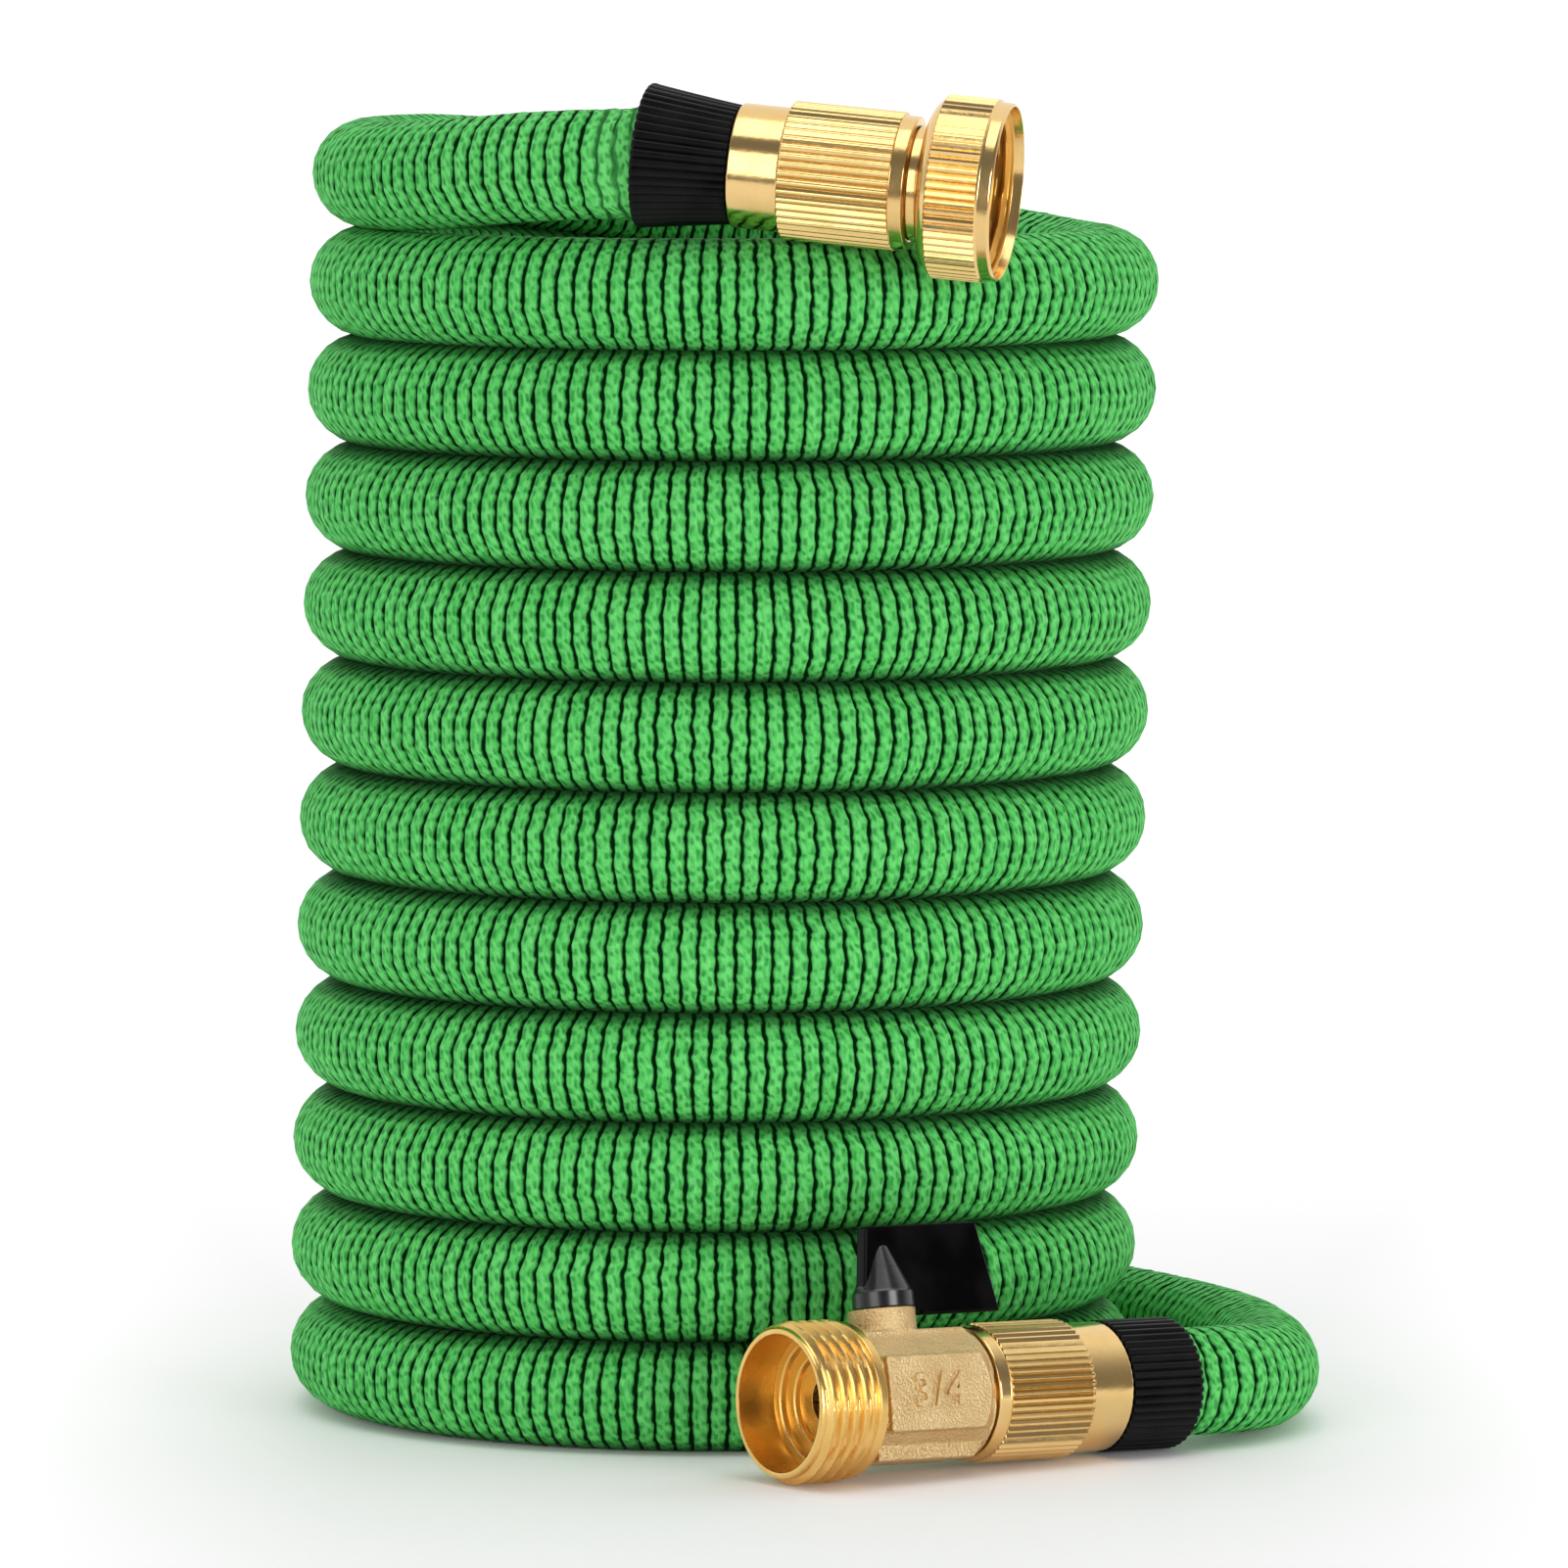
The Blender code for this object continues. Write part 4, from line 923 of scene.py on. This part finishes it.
valve = {
    "roll": 169.0,  # degrees that the body's upright side is turned by
    "thread": (0.5, 11.0, 12.45, 13.5),
    "middleFrom": 13.0,
    "middleTo": 37.0,
    "coreHalf": 10.6,
    "coreChamfer": 5.64,
    # side of the middle, reach from the axis and width of its raised panel, in mm
    "panels": [((1, 0), 10.9, 11.2), ((-1, 0), 10.9, 14.4), ((0, 1), 11.75, 12.6), ((0, -1), 11.75, 12.6)],
    "panelFrom": 14.4,
    "panelTo": 35.6,
    "stemStation": 23.0,
    "ballRadius": 7.8,
    "cavityRadius": 8.2,
    "waterWay": 3.8,
    "spindleRadius": 3.0,
    "spindleBore": 3.4,
    "bonnetRadius": 5.7,
    "bonnetTop": 14.75,
    "bonnetShift": -0.6,  # mm along the valve
    "grip": (14.7, 11.15, 11.15, 46),
    "clampNut": (15.0, 8.3, 10.9, 17.4, 55),
    # outlines: flange to hose stem, bore back to the mouth, and the cone that the casting is turned down to
    "stemShape": [(11.2, 12.45), (11.5, 13.05), (13.0, 13.05), (13.25, 9.2), (56.8, 9.2), (56.8, 5.9),
                  (74.4, 5.9)],
    "boreShape": [(74.4, 3.8), (9.6, 3.8), (9.6, 7.3), (8.85, 7.3), (8.5, 7.65), (8.5, 9.7), (7.65, 9.7),
                  (7.3, 10.05), (7.3, 11.45), (0.0, 11.45)],
    "coneShape": [(12.0, 0.0), (12.0, 18.0), (32.1, 18.0), (32.3, 13.9), (36.3, 10.9), (37.2, 10.9),
                  (37.2, 0.0)],
    "numeralSize": (10.5, 5.7),  # mm long and tall
    "numeralRise": 0.62,
    "castVoxel": 0.225,
}
uprightFrame = valveFrame @ Matrix.Rotation(math.radians(valve["roll"]), 4, "Z")
pivotFrame = uprightFrame @ Matrix.Translation((0, 0, valve["stemStation"]))
hoseEndFrame = (valveFrame @ Matrix.Translation((0, 0, hose["valveLength"]))
                @ Matrix.Rotation(math.pi, 4, "X"))
crossAxis = Matrix.Rotation(math.pi / 2, 4, "Y")     # turns a lathe's axis upright


def appliedMesh(obj):
    bpy.context.view_layer.update()
    graph = bpy.context.evaluated_depsgraph_get()
    mesh = bpy.data.meshes.new_from_object(obj.evaluated_get(graph))
    bpy.data.objects.remove(obj)
    return mesh


def combine(mesh, *steps):
    # Closed meshes in mm; a step is an operation, another mesh and where that is placed
    base = addObject("form", mesh)
    tools = []
    for operation, toolMesh, *places in steps:
        for place in places:
            toolMesh.transform(place)
        tools.append(addObject(operation, toolMesh))
        cut = base.modifiers.new(operation, "BOOLEAN")
        cut.operation = operation
        cut.object = tools[-1]
        cut.solver = "MANIFOLD"
    result = appliedMesh(base)
    result.materials.clear()
    for tool in tools:
        bpy.data.objects.remove(tool)
    return result


def finishMesh(mesh, place=Matrix()):
    mesh.transform(Matrix.Scale(mm, 4) @ place)
    return smoothed(mesh)


def rod(start, end, radius, around=64, tip=0.0):
    loop = plain([(start, 0.0), (start, radius), (end - tip, radius), (end, radius - tip), (end, 0.0)])
    if not tip:
        del loop[3]
    return turnedMesh("rod", loop, around, unit=1.0)


def boxInto(bm, size, middle, bevel, alongOnly=False):
    place = Matrix.Translation(middle) @ Matrix.Diagonal((*size, 1))
    made = bmesh.ops.create_cube(bm, size=1.0, matrix=place)
    edges = list({edge for vert in made["verts"] for edge in vert.link_edges})
    if alongOnly:
        edges = [e for e in edges if abs(e.verts[0].co.z - e.verts[1].co.z) > size[2] / 2]
    bmesh.ops.bevel(bm, geom=edges, offset=bevel, segments=1 if alongOnly else 2, profile=0.5, affect="EDGES")


def numeralMesh():
    # The thread size, cast on the front panel in plain numerals, in mm
    curve = bpy.data.curves.new("sizeMark", "FONT")
    curve.body = "3/4"
    curve.space_character = 1.1
    curve.extrude = 0.1
    curve.bevel_depth = 0.03
    curve.bevel_resolution = 1
    curve.align_x = "CENTER"
    curve.align_y = "CENTER"
    mesh = welded(appliedMesh(addObject("sizeMark", curve)), 1e-5)
    corners = np.array([list(v.co) for v in mesh.vertices])
    low, high = corners.min(axis=0), corners.max(axis=0)
    wanted = (*valve["numeralSize"], 2 * valve["numeralRise"])
    mesh.transform(Matrix.Translation(-Vector((low + high) / 2)))
    mesh.transform(Matrix.Diagonal((*(wanted / (high - low)), 1)))
    across = Matrix(((0, 1, 0), (0, 0, 1), (1, 0, 0))).to_4x4()
    middle = (valve["panelFrom"] + valve["panelTo"]) / 2 - 0.3
    mesh.transform(Matrix.Translation((0.4, valve["panels"][2][1], middle)) @ across)
    return mesh


def buildCasting():
    # The cast middle: overlapping forms are fused by a fine remesh, which also softens their
    # edges as sand casting does. Made in the upright frame, in mm.
    bm = bmesh.new()
    half = valve["coreHalf"]
    coreFrom, coreTo = valve["middleFrom"] - 0.5, valve["middleTo"] - 0.2
    boxInto(bm, (2 * half, 2 * half, coreTo - coreFrom), (0, 0, (coreFrom + coreTo) / 2),
            valve["coreChamfer"], True)
    panelLength = valve["panelTo"] - valve["panelFrom"]
    centre = (valve["panelFrom"] + valve["panelTo"]) / 2
    for (up, front), reach, width in valve["panels"]:
        size = (reach if up else width, reach if front else width, panelLength)
        boxInto(bm, size, (up * reach / 2, front * reach / 2, centre), 0.25)
    bonnet = rod(0.0, valve["bonnetTop"], valve["bonnetRadius"], 96)
    bonnet.transform(Matrix.Translation((0, 0, valve["stemStation"] + valve["bonnetShift"])) @ crossAxis)
    bm.from_mesh(bonnet)
    mesh = bpy.data.meshes.new("valveCasting")
    bm.to_mesh(mesh)
    bm.free()
    obj = addObject("valveCasting", mesh)
    remesh = obj.modifiers.new("fuse", "REMESH")
    remesh.mode = "VOXEL"
    remesh.voxel_size = valve["castVoxel"]
    soften = obj.modifiers.new("soften", "SMOOTH")
    soften.factor = 0.5
    soften.iterations = 3
    return appliedMesh(obj)


def buildValveBody():
    first, last, root, crest = valve["thread"]
    step = thread["pitch"] / 12
    outer = [(0.0, root - 0.1, ""), (first, root, "thread", "keep")]
    outer += [(first + i * step, root, "thread", "keep") for i in range(1, int((last - first) / step) + 1)]
    outline = outer + plain(valve["stemShape"] + valve["boreShape"])
    cut = threadDepth(first, last, root, crest)
    turnedPart = turnedMesh("valveTurnedPart", roundCorners(outline, 0.18, 2), 160, cut, unit=1.0)
    centre = Matrix.Translation((0, 0, valve["stemStation"]))
    # The hose end of the casting is turned down to a cone, which rounds the panels' ends
    envelope = turnedMesh("turnedLimit", plain(valve["coneShape"]), 128, unit=1.0)
    upright = centre @ crossAxis
    envelope = combine(envelope, ("UNION", rod(0.0, 18.0, 7.0), upright))
    mesh = combine(
        buildCasting(),
        ("INTERSECT", envelope),
        ("UNION", numeralMesh()),
        ("DIFFERENCE", rod(9.0, 38.0, valve["waterWay"] + 0.02, 96)),
        ("UNION", turnedPart),
        ("DIFFERENCE", ballMesh(valve["cavityRadius"], 0.0), centre),
        ("DIFFERENCE", rod(0.0, 16.0, valve["spindleBore"]), upright))
    print("stage: valve body has", len(mesh.polygons), "faces")
    for face in mesh.polygons:
        if face.center.z < valve["middleFrom"] + 0.3:
            face.material_index = 1
        elif face.center.z > valve["middleTo"]:
            face.material_index = 2
    # Its object stands level, so that its box is no larger than the piece
    levelFrame = valveFrame @ Matrix.Rotation(math.pi, 4, "Z")
    finishMesh(mesh, Matrix.Rotation(math.radians(valve["roll"]) - math.pi, 4, "Z"))
    placePiece("valve_body_cast", mesh, (castBrass, threadBrass, machinedBrass), levelFrame, "hose",
               "cast_brass", "valve_body")


def ballMesh(radius, bore):
    # A ball about 0, with a bore along the lathe's axis where one is given
    flat = math.asin(bore / radius)
    arc = [flat + (math.pi - 2 * flat) * i / 28 for i in range(29)]
    loop = [(-radius * math.cos(a), radius * math.sin(a), "") for a in arc]
    loop[0] = (loop[0][0], bore, "")
    loop[-1] = (loop[-1][0], bore, "")
    return turnedMesh("ball", loop, 72, unit=1.0)


# Heights are mm from the lever's foot, which lies this far from the valve's axis
handle = {
    "foot": 15.15,
    "bladeHalf": 1.3,
    "bladeCorners": [(0.0, -4.9), (13.4, -3.2), (13.4, 19.4), (-1.7, 23.0), (-1.7, 7.0), (0.0, 6.4)],
    "bladeEdge": 0.4,
    "hubGap": 0.08,  # over the bonnet
    "hubFootShape": [(0.0, 0.0), (0.0, 5.0), (0.2, 5.2)],
    "hubShape": [(2.3, 5.15), (2.5, 4.95), (2.8, 4.8), (9.9, 1.5), (10.2, 1.2), (10.3, 0.7), (10.3, 0.0)],
    "seatDepth": 1.2,  # of the spindle's foot in the ball
}


def buildShutOff():
    seatFloor = valve["ballRadius"] - handle["seatDepth"]
    foot = handle["foot"]
    ball = combine(ballMesh(valve["ballRadius"], valve["waterWay"]),
                   ("DIFFERENCE", rod(seatFloor, 16.0, valve["spindleBore"]), crossAxis))
    spindle = rod(seatFloor + 0.04, foot + 6.4, valve["spindleRadius"], 48, 0.3)
    spindle.transform(crossAxis)
    pieces = (("ball_with_bore", ball, "valve_ball"), ("spindle_turned", spindle, "valve_spindle"))
    for name, mesh, node in pieces:
        placePiece(name, finishMesh(mesh), [machinedBrass], pivotFrame, "lever", "machined_brass", node)

    # Lever: a flat tapered blade with a cone over the spindle
    corners = [(foot + height, along) for height, along in handle["bladeCorners"]]
    half = handle["bladeHalf"]
    bm = bmesh.new()
    front, back = [[bm.verts.new((x, y, z)) for x, z in corners] for y in (half, -half)]
    bm.faces.new(front)
    bm.faces.new(reversed(back))
    for i in range(len(corners)):
        j = (i + 1) % len(corners)
        bm.faces.new((front[i], back[i], back[j], front[j]))
    bmesh.ops.bevel(bm, geom=list(bm.edges), offset=handle["bladeEdge"], segments=3, profile=0.6,
                     affect="EDGES")
    bmesh.ops.recalc_face_normals(bm, faces=bm.faces)
    blade = bpy.data.meshes.new("leverBlade")
    bm.to_mesh(blade)
    bm.free()
    hubFoot = valve["bonnetTop"] + handle["hubGap"]
    hub = plain([(hubFoot + height, radius) for height, radius in handle["hubFootShape"]]
                + [(foot + height, radius) for height, radius in handle["hubShape"]])
    hubMesh = turnedMesh("hub", hub, 72, unit=1.0)
    hubMesh.transform(crossAxis)
    lever = combine(hubMesh, ("UNION", blade),
                    ("DIFFERENCE", rod(foot - 1, foot + 6.5, 3.1), crossAxis))
    for face in lever.polygons:
        x, y, z = face.center
        hubRadius = np.interp(x, [point[0] for point in hub], [point[1] for point in hub])
        face.material_index = int(abs(math.hypot(y, z) - hubRadius) < 0.15)
    placePiece("lever_moulded", finishMesh(lever), (leverPlastic, hubPlastic), pivotFrame, "lever",
               "lever_plastic", "valve_lever")


buildGrip("valve_grip", hoseEndFrame, *valve["grip"])
buildClampNut("valve_clamp_nut", hoseEndFrame, *valve["clampNut"])
buildValveBody()
buildShutOff()
print("stage: valve is built")
